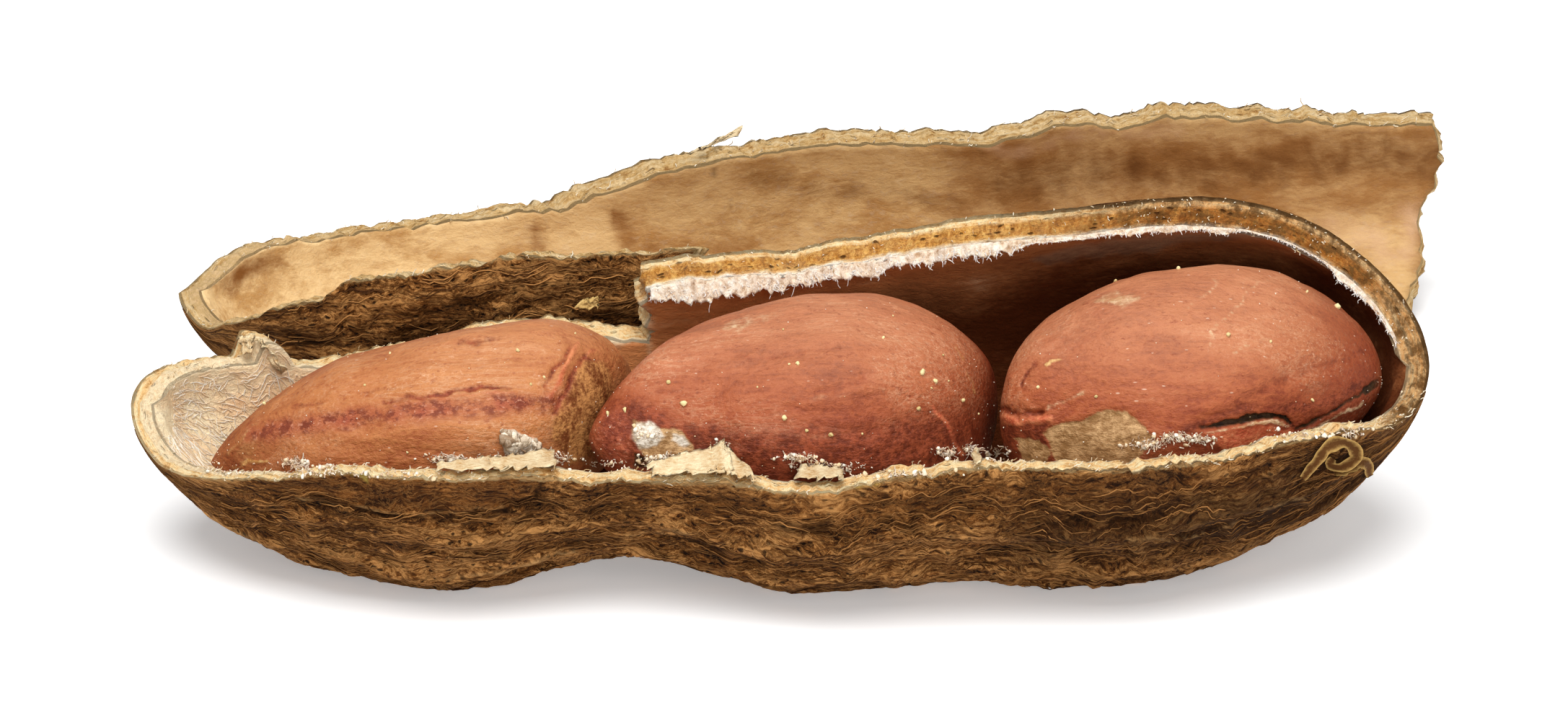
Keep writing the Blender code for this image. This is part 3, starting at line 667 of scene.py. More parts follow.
class Shell:
    """One torn piece of the shell, in two bands of rows that meet along a middle line."""

    def __init__(self, axis, tips, wall, edges, rows, stations, break_at, seed):
        self.axis = axis
        self.tips = tips
        self.wall = wall
        self.edges = edges
        self.rows = rows
        self.stations = stations
        self.break_at = break_at
        self.start = axis[0][0]
        self.end = axis[-1][0]
        self.coarse = Noise(seed)
        self.fine = Noise(seed + 1)
        self.tear = Noise(seed + 2)

    def station(self, i):
        before, after = self.stations
        left_share = np.clip(i / before, 0.0, 1.0) ** STATION_POWER
        left = self.start + (self.break_at - self.start) * left_share
        power = STATION_POWER if self.tips[1] else 1.0
        right_share = np.clip(1.0 - (i - before) / after, 0.0, 1.0) ** power
        right = self.end - (self.end - self.break_at) * right_share
        return np.where(i <= before, left, right)

    def torn(self, x, line):
        """How ragged an edge is, in degrees, with long tears, short ones and torn fibres."""
        long_tears = self.tear(x * 0.45, line)
        short_tears = self.tear(x * 1.7, line + 5.0)
        fibres = self.tear(x * 5.0, line + 9.0)
        return 1.3 * long_tears + 1.5 * short_tears + 1.3 * fibres

    def angle(self, i, j):
        x = self.station(i)
        first_edge, middle, second_edge = (edge_angle(edge, x) for edge in self.edges)
        first_edge = first_edge + self.torn(x, 0.5)
        second_edge = second_edge + self.torn(x, 20.5)
        middle = middle + self.middle_tear(x)
        below = first_edge + (middle - first_edge) * j / self.rows[0]
        above = middle + (second_edge - middle) * (j - self.rows[0]) / self.rows[1]
        angle = np.where(j <= self.rows[0], below, above)
        within = np.minimum(j, sum(self.rows) - j) / ROWS_PER_RIB
        wave = np.sin(2 * math.pi * x / RIB_SWAY_LENGTH + RIB_SWAY_LAG * j)
        return angle + RIB_SWAY * ease(within) * wave

    def middle_tear(self, x):
        """The middle line's own tear, where the other band is missing and it is a free edge."""
        past_break = (self.break_at - x) * self.missing_side
        return self.torn(x, 40.5) * ease(past_break)

    def net(self, i, j):
        """The raised net's height at places between the solid's own stations and rows."""
        x = self.station(i)
        row = j - self.rows[0] + 0.5 * self.coarse(x * 0.25, j * 0.3)
        rib_number = np.floor(row / ROWS_PER_RIB)
        to_rib = np.abs((row / ROWS_PER_RIB + 0.5) % 1.0 - 0.5) * ROWS_PER_RIB
        shift = (STATIONS_PER_LINK // 2) * (rib_number % 2)
        along = (i + shift + 1.2 * self.coarse(x * 0.3, rib_number)) / STATIONS_PER_LINK
        to_link = np.abs((along + 0.5) % 1.0 - 0.5) * STATIONS_PER_LINK
        rib = np.exp(-((to_rib / 0.6) ** 2))
        link = np.exp(-((to_link / 0.7) ** 2))
        raised = np.maximum(RIB_HEIGHT * rib, LINK_HEIGHT * link)
        return raised - PIT_DEPTH * (1.0 - np.maximum(rib, link))

    def relief(self, i, j, x, arc):
        """The whole relief of the outside, and a share from 0 in its pits to 1 on its crests."""
        bend_along = x + 1.2 * self.coarse(x * 0.2, arc * 0.2)
        bend_across = arc + 0.9 * self.coarse(x * 0.22, arc * 0.25, 4.0)
        wrinkles = self.coarse.ridges(bend_along * 0.22, bend_across * 0.85, 1.0)
        strong = 0.5 + 0.5 * self.coarse(x * 0.12, arc * 0.15, 7.0)
        fibres = self.fine.ridges(bend_along * 0.55, bend_across * 2.6, 2.0)
        net = self.net(i, j)
        height = net + WRINKLE_HEIGHT * wrinkles * (0.5 + strong) + FIBRE_HEIGHT * fibres
        share = 0.45 + 0.9 * net + 0.28 * wrinkles + 0.18 * fibres
        height = height * ease((x - self.start) / RIB_TIP_FADE)
        if self.tips[1]:
            height = height * ease((self.end - x) / RIB_TIP_FADE)
        return height, np.clip(share, 0.0, 1.0)

    def skin(self, i, j, inner):
        """Points of a skin, their grain coordinates, the outer skin's relief share, and how far off an
        edge is."""
        i, j = np.broadcast_arrays(i, j)
        x = self.station(i)
        angle = self.angle(i, j)
        inset = np.zeros_like(x)
        if inner:
            past_edge = angle - self.angle(i, np.zeros_like(j))
            inset = RIM_WALL + (self.wall - RIM_WALL) * ease(past_edge / RIM_WALL_REACH)
            low = self.start + inset * TIP_WALL_RATIO
            high = self.end - (inset * TIP_WALL_RATIO if self.tips[1] else 0.0)
            x = low + (high - low) * (x - self.start) / (self.end - self.start)
        turn = np.radians(angle)
        below = (1.0 + np.cos(turn)) / 2.0
        radius = smooth_value(self.axis, x, 3) * below
        radius = radius + smooth_value(self.axis, x, 4) * (1.0 - below) - inset
        arc = turn * GRAIN_RADIUS
        edge = self.edge_distance(x, angle, radius)
        share = None
        if inner:
            across, up = np.sin(turn) * radius, np.cos(turn) * radius
            radius = radius + 0.07 * self.coarse(x * 0.35, across * 0.8, up * 0.8)
            radius = radius + 0.045 * self.fine(x * 1.4, across * 1.8, up * 1.8)
        else:
            height, share = self.relief(i, j, x, arc)
            radius = radius + (height - 0.12) * (0.30 + 0.70 * ease(edge / 3.0))
        tips = [tip and (tip[0] - inset, tip[1]) for tip in self.tips]
        left_gap = x - self.start - inset * TIP_WALL_RATIO
        right_gap = self.end - inset * TIP_WALL_RATIO - x
        radius = radius * tip_share(left_gap, tips[0]) * tip_share(right_gap, tips[1])
        y = smooth_value(self.axis, x, 1) + radius * np.sin(turn)
        z = smooth_value(self.axis, x, 2) - radius * np.cos(turn)
        grain = np.stack([x, arc, np.full_like(x, 1.0 if inner else 0.0)], axis=-1)
        if not self.tips[1]:
            x = x - self.broken_back(x, angle)
        x = x + self.break_tear(i, j)
        return to_part(x, y, z), grain, share, edge

    def break_tear(self, i, j):
        """How far the free end beside the break is torn along the pod."""
        off = (j - self.rows[0]) * self.missing_side
        near = np.exp(-(((i - self.stations[0]) / 4.0) ** 2))
        ragged = 0.55 * self.tear(j * 0.55, 70.0) + 0.35 * self.tear(j * 2.3, 72.0)
        return near * ease(off / 1.5) * ragged

    def edge_distance(self, x, angle, radius):
        """About how many millimetres a place is from the nearest torn edge."""
        first_edge, middle, second_edge = (edge_angle(edge, x) for edge in self.edges)
        has_both = (x - self.break_at) * self.missing_side > 0
        if self.missing_band == 1:
            low, high = first_edge, np.where(has_both, second_edge, middle)
        else:
            low, high = np.where(has_both, first_edge, middle), second_edge
        return np.radians(np.maximum(np.minimum(angle - low, high - angle), 0.0)) * radius

    def broken_back(self, x, angle):
        along = (x - self.start) / (self.end - self.start)
        share = ease((along - BROKEN_END_REACH) / (1.0 - BROKEN_END_REACH))
        ragged = 0.5 * self.tear(angle * 0.12, 60.0) + 0.3 * self.tear(angle * 0.5, 62.0)
        return share * (edge_angle(BACK_BROKEN_END, angle) + 0.25 + ragged)

    def mesh(self, name, fine_stations, fine_rows, materials, inside, outside):
        """Both skins as one closed mesh, with rows across the wall along every torn edge.

        Each skin is given the lines and the areas of the photo that are painted on it."""
        body = Body()
        i = self.fine_place(fine_stations, self.stations)[:, None]
        j = self.fine_place(sum(fine_rows), self.rows, fine_rows[0])[None, :]
        outer_places, grain, share, edge = self.skin(i, j, False)
        turn = grain[..., 1] / GRAIN_RADIUS
        seen = ease(-np.sin(turn + CAMERA_RISE) * 2.5 + 0.4)
        lift, layers = paint(outer_places, seen, *outside)
        away = np.stack([np.zeros_like(turn), np.sin(turn), -np.cos(turn)], axis=-1)
        outer_places = outer_places + away * (lift * ease(edge / 0.8))[..., None]
        outer_places[..., 2] = np.maximum(outer_places[..., 2], 0.0)
        outer = body.add_points(outer_places, grain=grain, share=share, edge=edge, **layers)
        inner_places, grain, _, _ = self.skin(i[::2], j[:, ::2], True)
        seen = ease(np.sin(grain[..., 1] / GRAIN_RADIUS) * 3.0 + 0.8)
        seen = np.maximum(seen, ease(grain[..., 0] - SEEN_END))
        _, layers = paint(inner_places, seen, *inside)
        inner = body.add_points(inner_places, grain=grain, **layers)
        for numbers in (outer, inner):
            numbers[0, :] = numbers[0, 0]
            if self.tips[1]:
                numbers[-1, :] = numbers[-1, 0]
        cells = self.cells(i[::2, 0], fine_rows[0] // 2, outer.shape[1] // 2)
        fine_cells = np.repeat(np.repeat(cells, 2, axis=0), 2, axis=1)
        body.add_faces(grid_faces(outer, fine_cells), OUTSIDE)
        body.add_faces(grid_faces(inner, cells)[:, ::-1], INSIDE)
        self.add_rim(body, cells, outer, inner, outer_places, inner_places)
        return body.make(name, materials)

    def fine_place(self, count, halves, first_count=None):
        """The solid's own row or station number for each fine one."""
        if first_count is None:
            first_count = 2 * round(count * halves[0] / sum(halves) / 2)
        first = np.linspace(0.0, halves[0], first_count + 1)
        second = np.linspace(halves[0], sum(halves), count - first_count + 1)
        return np.concatenate([first, second[1:]])

    def cells(self, station_starts, rows_before, row_count):
        """Which double cells of the wall are there."""
        right = station_starts[:-1] >= self.stations[0] - 1e-6
        both = right if self.missing_side > 0 else ~right
        below = np.arange(row_count) < rows_before
        always = below if self.missing_band == 1 else ~below
        return always[None, :] | both[:, None]

    def add_rim(self, body, cells, outer, inner, outer_places, inner_places):
        """Rows across the wall, from the outer skin's edge to the inner skin's."""
        padded = np.pad(cells, 1)
        sides = (
            (padded[:-2, 1:-1], (0, 0), (0, 2)), (padded[1:-1, 2:], (0, 2), (2, 2)),
            (padded[2:, 1:-1], (2, 2), (2, 0)), (padded[1:-1, :-2], (2, 0), (0, 0)),
        )
        steps = []
        for neighbour, start, end in sides:
            for a, b in zip(*np.nonzero(cells & ~neighbour)):
                first = (2 * a + start[0], 2 * b + start[1])
                last = (2 * a + end[0], 2 * b + end[1])
                if outer[first] != outer[last]:
                    steps.append((first, last, (2 * a + 1, 2 * b + 1)))
        outward = {}
        ends = {}
        for step in steps:
            first, middle, last = step_spots(step)
            push = outer_places[middle] - outer_places[step[2]]
            for spot in (first, middle, last):
                key = outer[spot]
                outward[key] = outward.get(key, 0.0) + push
            before, after = (inner_places[spot[0] // 2, spot[1] // 2] for spot in (first, last))
            ends[outer[first]] = before
            ends[outer[last]] = after
            ends[outer[middle]] = (before + after) / 2
        starts = {outer[spot]: outer_places[spot] for step in steps for spot in step_spots(step)}
        keys = list(starts)
        begin = np.array([starts[key] for key in keys])
        finish = np.array([ends[key] for key in keys])
        push = np.array([outward[key] for key in keys])
        push = push / np.maximum(np.linalg.norm(push, axis=1), 1e-9)[:, None]
        across = np.arange(1, RIM_ROWS)[None, :] / RIM_ROWS
        places = begin[:, None] + (finish - begin)[:, None] * across[..., None]
        rough = self.rim_rough(places, across)
        places = places + push[:, None] * rough[..., None]
        places[..., 2] = np.maximum(places[..., 2], 0.0)
        grain = np.stack([places[..., 0], places[..., 1], np.broadcast_to(across, rough.shape)], axis=-1)
        numbers = body.add_points(places, grain=grain)
        rows = {key: [key, *numbers[k].tolist()] for k, key in enumerate(keys)}
        strips = []
        closing = []
        for step in steps:
            first, middle, last = (rows[outer[spot]] for spot in step_spots(step))
            for k in range(RIM_ROWS - 1):
                strips.append((last[k], middle[k], middle[k + 1], last[k + 1]))
                strips.append((middle[k], first[k], first[k + 1], middle[k + 1]))
            in_first, in_last = (inner[spot[0] // 2, spot[1] // 2] for spot in step[:2])
            closing.append((last[-1], middle[-1], in_last))
            closing.append((middle[-1], first[-1], in_first))
            closing.append((middle[-1], in_first, in_last))
        body.add_faces(strips, RIM)
        body.add_faces(closing, RIM)

    def rim_rough(self, places, across):
        """How far the broken wall stands out or is eaten away, in millimetres."""
        x, y, z = places[..., 0], places[..., 1], places[..., 2]
        layers = self.tear(x * 1.2, y * 1.2, across * 6.0 + z * 0.3)
        holes = self.fine(x * 3.2, y * 3.2, z * 3.2)
        return (0.10 + 0.13 * layers + 0.15 * holes) * np.sin(math.pi * across) ** 0.9


class FrontShell(Shell):
    """The front piece, whose second band is the hood, to the right of the break."""
    missing_side = 1
    missing_band = 1


class BackShell(Shell):
    """The back piece, whose first band is the cheek, to the left of the break."""
    missing_side = -1
    missing_band = 0


def step_spots(step):
    """The fine grid's places at the start, the middle and the end of a step along a torn edge."""
    first, last, _ = step
    return first, ((first[0] + last[0]) // 2, (first[1] + last[1]) // 2), last


def grid_faces(numbers, cells=None):
    """Four-cornered faces for the cells of a grid that are there, or for all of them."""
    if cells is None:
        cells = np.ones((numbers.shape[0] - 1, numbers.shape[1] - 1), bool)
    i, j = np.nonzero(cells)
    corners = ((0, 0), (0, 1), (1, 1), (1, 0))
    return np.stack([numbers[i + a, j + b] for a, b in corners], axis=-1)


class Kernel:
    """A kernel: an egg round a bent axis, its ends pressed slantwise by its neighbours."""

    def __init__(self, axis, tips, lean, furrows, seed, beak):
        self.axis = axis
        self.tips = tips
        self.lean = lean
        self.furrows = furrows
        self.beak = beak
        self.start = axis[0][0]
        self.end = axis[-1][0]
        self.coarse = Noise(seed)
        self.fine = Noise(seed + 1)

    def form(self, i, j, lift):
        """Points at shares along and round the kernel, raised by a lift in millimetres."""
        along = (1.0 - np.cos(math.pi * i)) / 2.0
        x = self.start + (self.end - self.start) * along
        seen_turn = math.radians(SEEN_TURN)
        turn = 2 * math.pi * j
        turn = turn - SEEN_DENSER * (np.sin(turn - seen_turn) + math.sin(seen_turn))
        closing = tip_share(x - self.start, self.tips[0]) * tip_share(self.end - x, self.tips[1])
        furrow = 0.09 * (1.0 + np.sin(self.furrows * turn + 0.35 * x)) * np.sin(math.pi * along)
        lift = lift - furrow
        above, below, side = (smooth_value(self.axis, x, k) * closing + lift for k in (3, 4, 5))
        side = side * np.sin(turn)
        drop = np.cos(turn) * np.where(np.cos(turn) > 0, below, above)
        y = smooth_value(self.axis, x, 1) + side
        z = smooth_value(self.axis, x, 2) - drop
        x = x + side * (self.lean[0] * (1.0 - along) ** 2 + self.lean[1] * along**2)
        if self.beak:
            reach, beak_y, beak_z = self.beak
            near = np.exp(-(((y - beak_y) / 1.2) ** 2) - ((z - beak_z) / 0.8) ** 2)
            x = x - reach * near * (1.0 - along) ** 8
        return to_part(x, y, z)

    def mesh(self, name, materials, lines, areas):
        body = Body()
        i = np.linspace(0.0, 1.0, KERNEL_FINE[0] + 1)[:, None]
        j = np.linspace(0.0, 1.0, KERNEL_FINE[1] + 1)[None, :]
        i, j = np.broadcast_arrays(i, j)
        plain = self.form(i, j, np.zeros_like(i))
        lift, layers = paint(plain, self.seen(plain), lines, areas)
        lift = (lift + skin_relief(self, plain)) * np.maximum(np.sin(math.pi * i), 0.0) ** 0.5
        numbers = body.add_points(self.form(i, j, lift), **layers)
        numbers[0, :] = numbers[0, 0]
        numbers[-1, :] = numbers[-1, 0]
        numbers[:, -1] = numbers[:, 0]
        body.add_faces(grid_faces(numbers), 0)
        return body.make(name, materials)

    def seen(self, plain):
        """How much a point faces the camera, from 0 to 1, so that marks stay on the seen side."""
        away = plain - plain.mean(axis=1)[:, None]
        return ease((away @ TO_CAMERA) / 1.5)


def skin_relief(kernel, plain):
    """The dry skin's own fine wrinkles, which run along the kernel."""
    x, y, z = plain[..., 0], plain[..., 1], plain[..., 2]
    dents = kernel.coarse(x * 0.25, y * 0.3, z * 0.3)
    wrinkles = kernel.coarse.ridges(x * 0.25, y * 0.8, z * 0.8)
    grain = kernel.fine(x * 1.1, y * 2.4, z * 2.4)
    return 0.17 * dents + 0.075 * wrinkles + 0.030 * grain


def make_ribbon(name, base, drop, lengths, material):
    """A thin torn sheet that hangs from a line of points, with a back a little behind its face."""
    body = Body()
    share = np.linspace(0.0, 1.0, LINING_ROWS + 1)[None, :, None]
    rough = Noise(97)
    face = base[:, None] + drop * lengths[:, None, None] * share
    wave = rough(face[..., 0] * 2.6, face[..., 2] * 2.6, share[..., 0] * 2.0)
    face = face + np.array((0.0, -1.0, 0.25)) * (0.10 * wave * share[..., 0])[..., None]
    back = face + np.array((0.0, 1.0, 0.1)) * LINING_THICKNESS
    numbers = body.add_points(np.concatenate([face, back[:, ::-1]], axis=1))
    numbers = np.concatenate([numbers, numbers[:, :1]], axis=1)
    body.add_faces(grid_faces(numbers), 0)
    for end in (0, -1):
        near, far = numbers[end, :LINING_ROWS + 1], numbers[end, LINING_ROWS + 1:-1][::-1]
        body.add_faces(np.stack([near[:-1], near[1:], far[1:], far[:-1]], axis=-1), 0)
    piece = body.make(name, [material])
    point_outwards(piece)
    return piece


class Value:
    """A number, colour or vector that varies over a surface. Arithmetic adds Math nodes."""

    def __init__(self, finish, socket):
        self.finish = finish
        self.socket = socket

    def maths(self, operation, first, second=0.0):
        return self.finish.node("ShaderNodeMath", {"operation": operation}, {0: first, 1: second})

    def __add__(self, other):
        return self.maths("ADD", self, other)

    __radd__ = __add__

    def __mul__(self, other):
        return self.maths("MULTIPLY", self, other)

    __rmul__ = __mul__

    def __sub__(self, other):
        return self.maths("SUBTRACT", self, other)

    def __rsub__(self, other):
        return self.maths("SUBTRACT", other, self)

    def __abs__(self):
        return self.maths("ABSOLUTE", self)

    def between(self, low, high):
        """0 at low, 1 at high, and smooth between them."""
        settings = {"interpolation_type": "SMOOTHSTEP"}
        return self.finish.node("ShaderNodeMapRange", settings, {0: self, 1: low, 2: high})


class Finish:
    """A material in the making, with one Principled shader."""

    def __init__(self, name, **fixed):
        self.material = bpy.data.materials.new(name)
        self.material.use_nodes = True
        self.tree = self.material.node_tree
        self.surface = self.tree.nodes["Principled BSDF"]
        for key, value in fixed.items():
            socket = key.replace("_", " ").title().replace("Ior", "IOR")
            self.surface.inputs[socket].default_value = value

    def node(self, kind, settings=None, inputs=None, output=0):
        made = self.tree.nodes.new(kind)
        for key, value in (settings or {}).items():
            if key == "stops":
                self.set_stops(made.color_ramp, value)
            else:
                setattr(made, key, value)
        for key, value in (inputs or {}).items():
            self.put(made.inputs[key], value)
        return Value(self, made.outputs[output])

    def put(self, socket, value):
        if isinstance(value, Value):
            self.tree.links.new(value.socket, socket)
        else:
            socket.default_value = value

    def set_stops(self, ramp, stops):
        while len(ramp.elements) < len(stops):
            ramp.elements.new(1.0)
        for element, (place, colour) in zip(ramp.elements, stops):
            element.position = place
            element.color = (*colour, 1.0)

    def field(self, name, output="Fac"):
        return self.node("ShaderNodeAttribute", {"attribute_name": name}, output=output)

    def part(self, vector, axis):
        """One of a vector's three parts, as a number."""
        return self.node("ShaderNodeSeparateXYZ", None, {0: vector}, axis)

    def here(self, stretch=(1.0, 1.0, 1.0)):
        """The place on the object in millimetres, stretched along each direction."""
        place = self.node("ShaderNodeTexCoord", output="Object")
        return self.stretched(place, [share / MM for share in stretch])

    def stretched(self, vector, shares):
        return self.node("ShaderNodeVectorMath", {"operation": "MULTIPLY"}, {0: vector, 1: shares})

    def warped(self, vector, scale, amount):
        """A vector pushed about by noise, so that what it carries runs in waves."""
        push = self.node("ShaderNodeTexNoise", None, {"Vector": vector, "Scale": scale, "Detail": 2.0}, 1)
        centred = self.node("ShaderNodeVectorMath", {"operation": "SUBTRACT"}, {0: push, 1: (0.5, 0.5, 0.5)})
        moved = self.stretched(centred, (amount, amount, amount))
        return self.node("ShaderNodeVectorMath", {"operation": "ADD"}, {0: vector, 1: moved})

    def noise(self, vector, scale, detail=3.0, roughness=0.55):
        inputs = {"Vector": vector, "Scale": scale, "Detail": detail, "Roughness": roughness}
        return self.node("ShaderNodeTexNoise", None, inputs)

    def cells(self, vector, scale):
        return self.node("ShaderNodeTexVoronoi", None, {"Vector": vector, "Scale": scale})

    def colours(self, value, *stops):
        return self.node("ShaderNodeValToRGB", {"stops": stops}, {0: value})

    def mix(self, share, first, second, blend="MIX"):
        settings = {"data_type": "RGBA", "blend_type": blend}
        first = first if isinstance(first, Value) else (*first, 1.0)
        second = second if isinstance(second, Value) else (*second, 1.0)
        return self.node("ShaderNodeMix", settings, {0: share, 6: first, 7: second}, 2)

    def done(self, colour, height=None, depth=0.1, strength=1.0):
        """Joins the colour, and a height in shares of a depth in millimetres."""
        self.put(self.surface.inputs["Base Color"], colour)
        if height is not None:
            inputs = {"Height": height, "Distance": depth * MM, "Strength": strength}
            self.put(self.surface.inputs["Normal"], self.node("ShaderNodeBump", None, inputs))
        return self.material


def outside_finish(name, paler):
    """Dry brown shell: a dark ground with pits, wavy rusty fibres, and marked smoother bands."""
    finish = Finish(name, roughness=0.85, specular_ior_level=0.08)
    grain = finish.field("grain", "Vector")
    share = finish.field("share")
    smooth = finish.field("smooth")
    waves = finish.warped(grain, 0.35, 2.0)
    tangle = finish.warped(waves, 1.6, 0.45)
    ropes = finish.noise(finish.stretched(tangle, (0.60, 3.2, 1.0)), 1.0, 6.0, 0.66)
    threads = finish.noise(finish.stretched(tangle, (2.0, 8.0, 1.0)), 1.0, 4.0, 0.72)
    patches = finish.noise(finish.stretched(grain, (0.22, 0.38, 1.0)), 1.0, 3.0)
    speckle = finish.noise(finish.stretched(tangle, (4.0, 7.0, 1.0)), 1.0, 4.0, 0.78)
    strands = (1.0 - abs(ropes - 0.52) * 30.0).between(0.1, 1.0) * (1.0 - smooth * 0.9)
    hairs = (1.0 - abs(threads - 0.52) * 18.0).between(0.1, 1.0)
    pits = finish.cells(finish.stretched(tangle, (2.2, 4.2, 1.0)), 1.0)
    holes = (1.0 - pits.between(0.10, 0.28)) * patches.between(0.34, 0.50) * (1.0 - smooth * 0.6)
    # The ground is darker in the net's pits, where share is low, and lighter on its crests: painted shade in
    # the pits over the shell's own dark brown.
    ground = share * 0.6 + ropes * 1.5 + threads * 1.3 + speckle * 2.0 + patches * 1.3 - 3.32
    # Painted light: the outside is lighter low down, below 4.5 mm.
    low = 1.0 - finish.part(finish.here(), 2).between(0.8, 4.5)
    ground = ground * (1.0 - smooth * 0.55) + low * 0.10 - smooth * 0.09 + (0.47 + paler)
    colour = finish.colours(
        ground,
        (0.0, (0.003, 0.0008, 0.0002)), (0.28, (0.018, 0.0050, 0.0008)), (0.48, (0.068, 0.0215, 0.0037)),
        (0.68, (0.18, 0.063, 0.0125)), (0.95, (0.50, 0.235, 0.072)),
    )
    colour = finish.mix(strands * share * 0.60, colour, (0.27, 0.100, 0.022))
    colour = finish.mix(hairs * share * 0.40, colour, (0.46, 0.21, 0.062))
    # Near-black holes: painted shade in the pits.
    colour = finish.mix(holes * 0.88, colour, (0.007, 0.002, 0.0006))
    marked = threads * 0.9 + 0.55
    # The dark layer: creases, recesses and painted shade, in near black.
    colour = finish.mix((finish.field("dark") * marked).between(0.1, 0.9), colour, (0.018, 0.006, 0.0015))
    colour = finish.mix((finish.field("pale") * marked).between(0.1, 0.9), colour, (0.58, 0.32, 0.12))
    colour = finish.mix((finish.field("yellow") * marked).between(0.1, 0.9), colour, (0.36, 0.27, 0.05))
    near_edge = 1.0 - (finish.field("edge") + threads * 0.5 - 0.25).between(0.0, 0.10)
    colour = finish.mix(near_edge * 0.5, colour, (0.62, 0.40, 0.17))
    relief = (ropes * 0.7 + threads * 0.5 + strands * 0.2) * (1.0 - smooth * 0.7)
    return finish.done(colour, relief + speckle * 0.40 - holes * 0.7, 0.34, 1.0)


def rim_finish(name, dark, light, pale, lining_tone, sponge):
    """The broken wall: layers along its edge, a golden sponge high up, and a white skin inside."""
    finish = Finish(name, roughness=0.9, specular_ior_level=0.08)
    here = finish.here()
    along = finish.part(here, 0)
    high = finish.part(here, 2).between(9.3, 11.0) * sponge
    turned_up = along.between(21.8, 23.6) * sponge
    right = along.between(6.0, 15.0) * (high + turned_up).between(0.0, 1.0)
    left = 1.0 - along.between(-25.0, -17.5)
    grain = finish.field("grain", "Vector")
    across = finish.part(grain, 2)
    torn = finish.warped(grain, 1.2, 0.22)
    layers = finish.noise(finish.stretched(torn, (0.8, 0.8, 7.0)), 1.0, 5.0, 0.70)
    upright = finish.noise(finish.stretched(torn, (5.5, 5.5, 1.2)), 1.0, 4.0, 0.70)
    crumbs = finish.noise(here, 5.5, 4.0, 0.75)
    clumps = finish.noise(here, 1.5, 4.0, 0.70)
    tattered = clumps.between(0.50, 0.70) * 0.22
    worn = layers * 1.1 + crumbs * 0.5 - tattered - 0.27
    colour = finish.colours(worn, (0.24, dark), (0.44, light), (0.66, pale))
    gold = finish.colours(
        upright * 0.9 + crumbs * 0.6 - 0.26,
        (0.24, (0.14, 0.044, 0.006)), (0.44, (0.52, 0.205, 0.030)), (0.68, (0.88, 0.50, 0.13)),
    )
    middle = (across + layers * 0.4 - 0.2).between(0.24, 0.36) * (1.0 - across.between(0.70, 0.84))
    colour = finish.mix(middle * high * 0.9, colour, gold)
    rotten = (clumps * 0.6 + upright * 0.4 + layers * 0.3).between(0.54, 0.72)
    colour = finish.mix(right * 0.72, colour, (0.66, 0.47, 0.33), "MULTIPLY")
    colour = finish.mix(right * rotten * 0.85, colour, (0.105, 0.048, 0.014))
    white = finish.mix(high, lining_tone, (1.0, 0.96, 0.88))
    white = finish.mix(crumbs.between(0.45, 0.62) * left * 0.8, white, (0.80, 0.54, 0.29))
    lining = (across + layers * 0.25 - 0.125 + left * 0.42).between(0.76, 0.90)
    colour = finish.mix(lining * (1.0 - right * 0.7) * 0.9, colour, white)
    outermost = 1.0 - (across + layers * 0.30 - 0.15).between(0.02, 0.16)
    crust = outermost * (0.15 + along.between(4.0, 13.0) * 0.7)
    colour = finish.mix(crust, colour, (0.17, 0.075, 0.020))
    # The sponge's holes are painted dark: painted shade in them.
    holes = (1.0 - finish.cells(finish.stretched(torn, (1.5, 1.5, 5.0)), 1.0).between(0.08, 0.26)) * middle
    colour = finish.mix(holes * high * 0.85, colour, (0.07, 0.025, 0.006))
    return finish.done(colour, layers * 0.9 + upright * 0.5 + crumbs * 0.4 - holes * 0.7, 0.24, 1.0)


def inside_finish(name, pale, stain, brown, deep, woolly, stain_and_shade_rightwards):
    """The inner skin: soft stains, faint lines along the pod, and brown where it is marked.

    Woolly skin has pale tufts. The last share makes the skin browner away from the left tip, with stains and
    painted shade."""
    finish = Finish(name, roughness=0.7, specular_ior_level=0.12)
    soft = finish.noise(finish.here((0.30, 0.55, 0.55)), 1.0, 5.0, 0.6)
    lines = finish.noise(finish.stretched(finish.warped(finish.here(), 0.4, 1.4), (0.9, 4.5, 4.5)), 1.0, 4.0)
    speckle = finish.noise(finish.here(), 4.5, 4.0, 0.7)
    wool = finish.noise(finish.warped(finish.here((1.0, 2.2, 2.2)), 1.3, 1.3), 2.4, 5.0, 0.72)
    mottled = soft + lines * 0.30 + wool * 0.35 - 0.325
    colour = finish.mix(mottled.between(0.36, 0.70), pale, stain)
    along = finish.part(finish.here(), 0)
    # Stains and painted shade: the skin is darker away from the left tip.
    colour = finish.mix(along.between(-22.0, -3.0) * stain_and_shade_rightwards, colour, (0.57, 0.43, 0.29), "MULTIPLY")
    colour = finish.mix(wool.between(0.50, 0.66) * woolly, colour, (1.0, 0.91, 0.70))
    # The dark layer paints shade in the deep tone.
    tones = (
        ("brown", brown), ("pale", (0.62, 0.38, 0.22)), ("dark", deep), ("gap", (0.05, 0.02, 0.007)),
    )
    for layer, tone in tones:
        broken = finish.field(layer) * (mottled * 1.1 + 0.45)
        colour = finish.mix(broken.between(0.12, 0.95), colour, tone)
    return finish.done(colour, soft * 0.4 + lines * 0.2 + speckle * 0.3 + wool * woolly * 2.2, 0.17, 0.9)


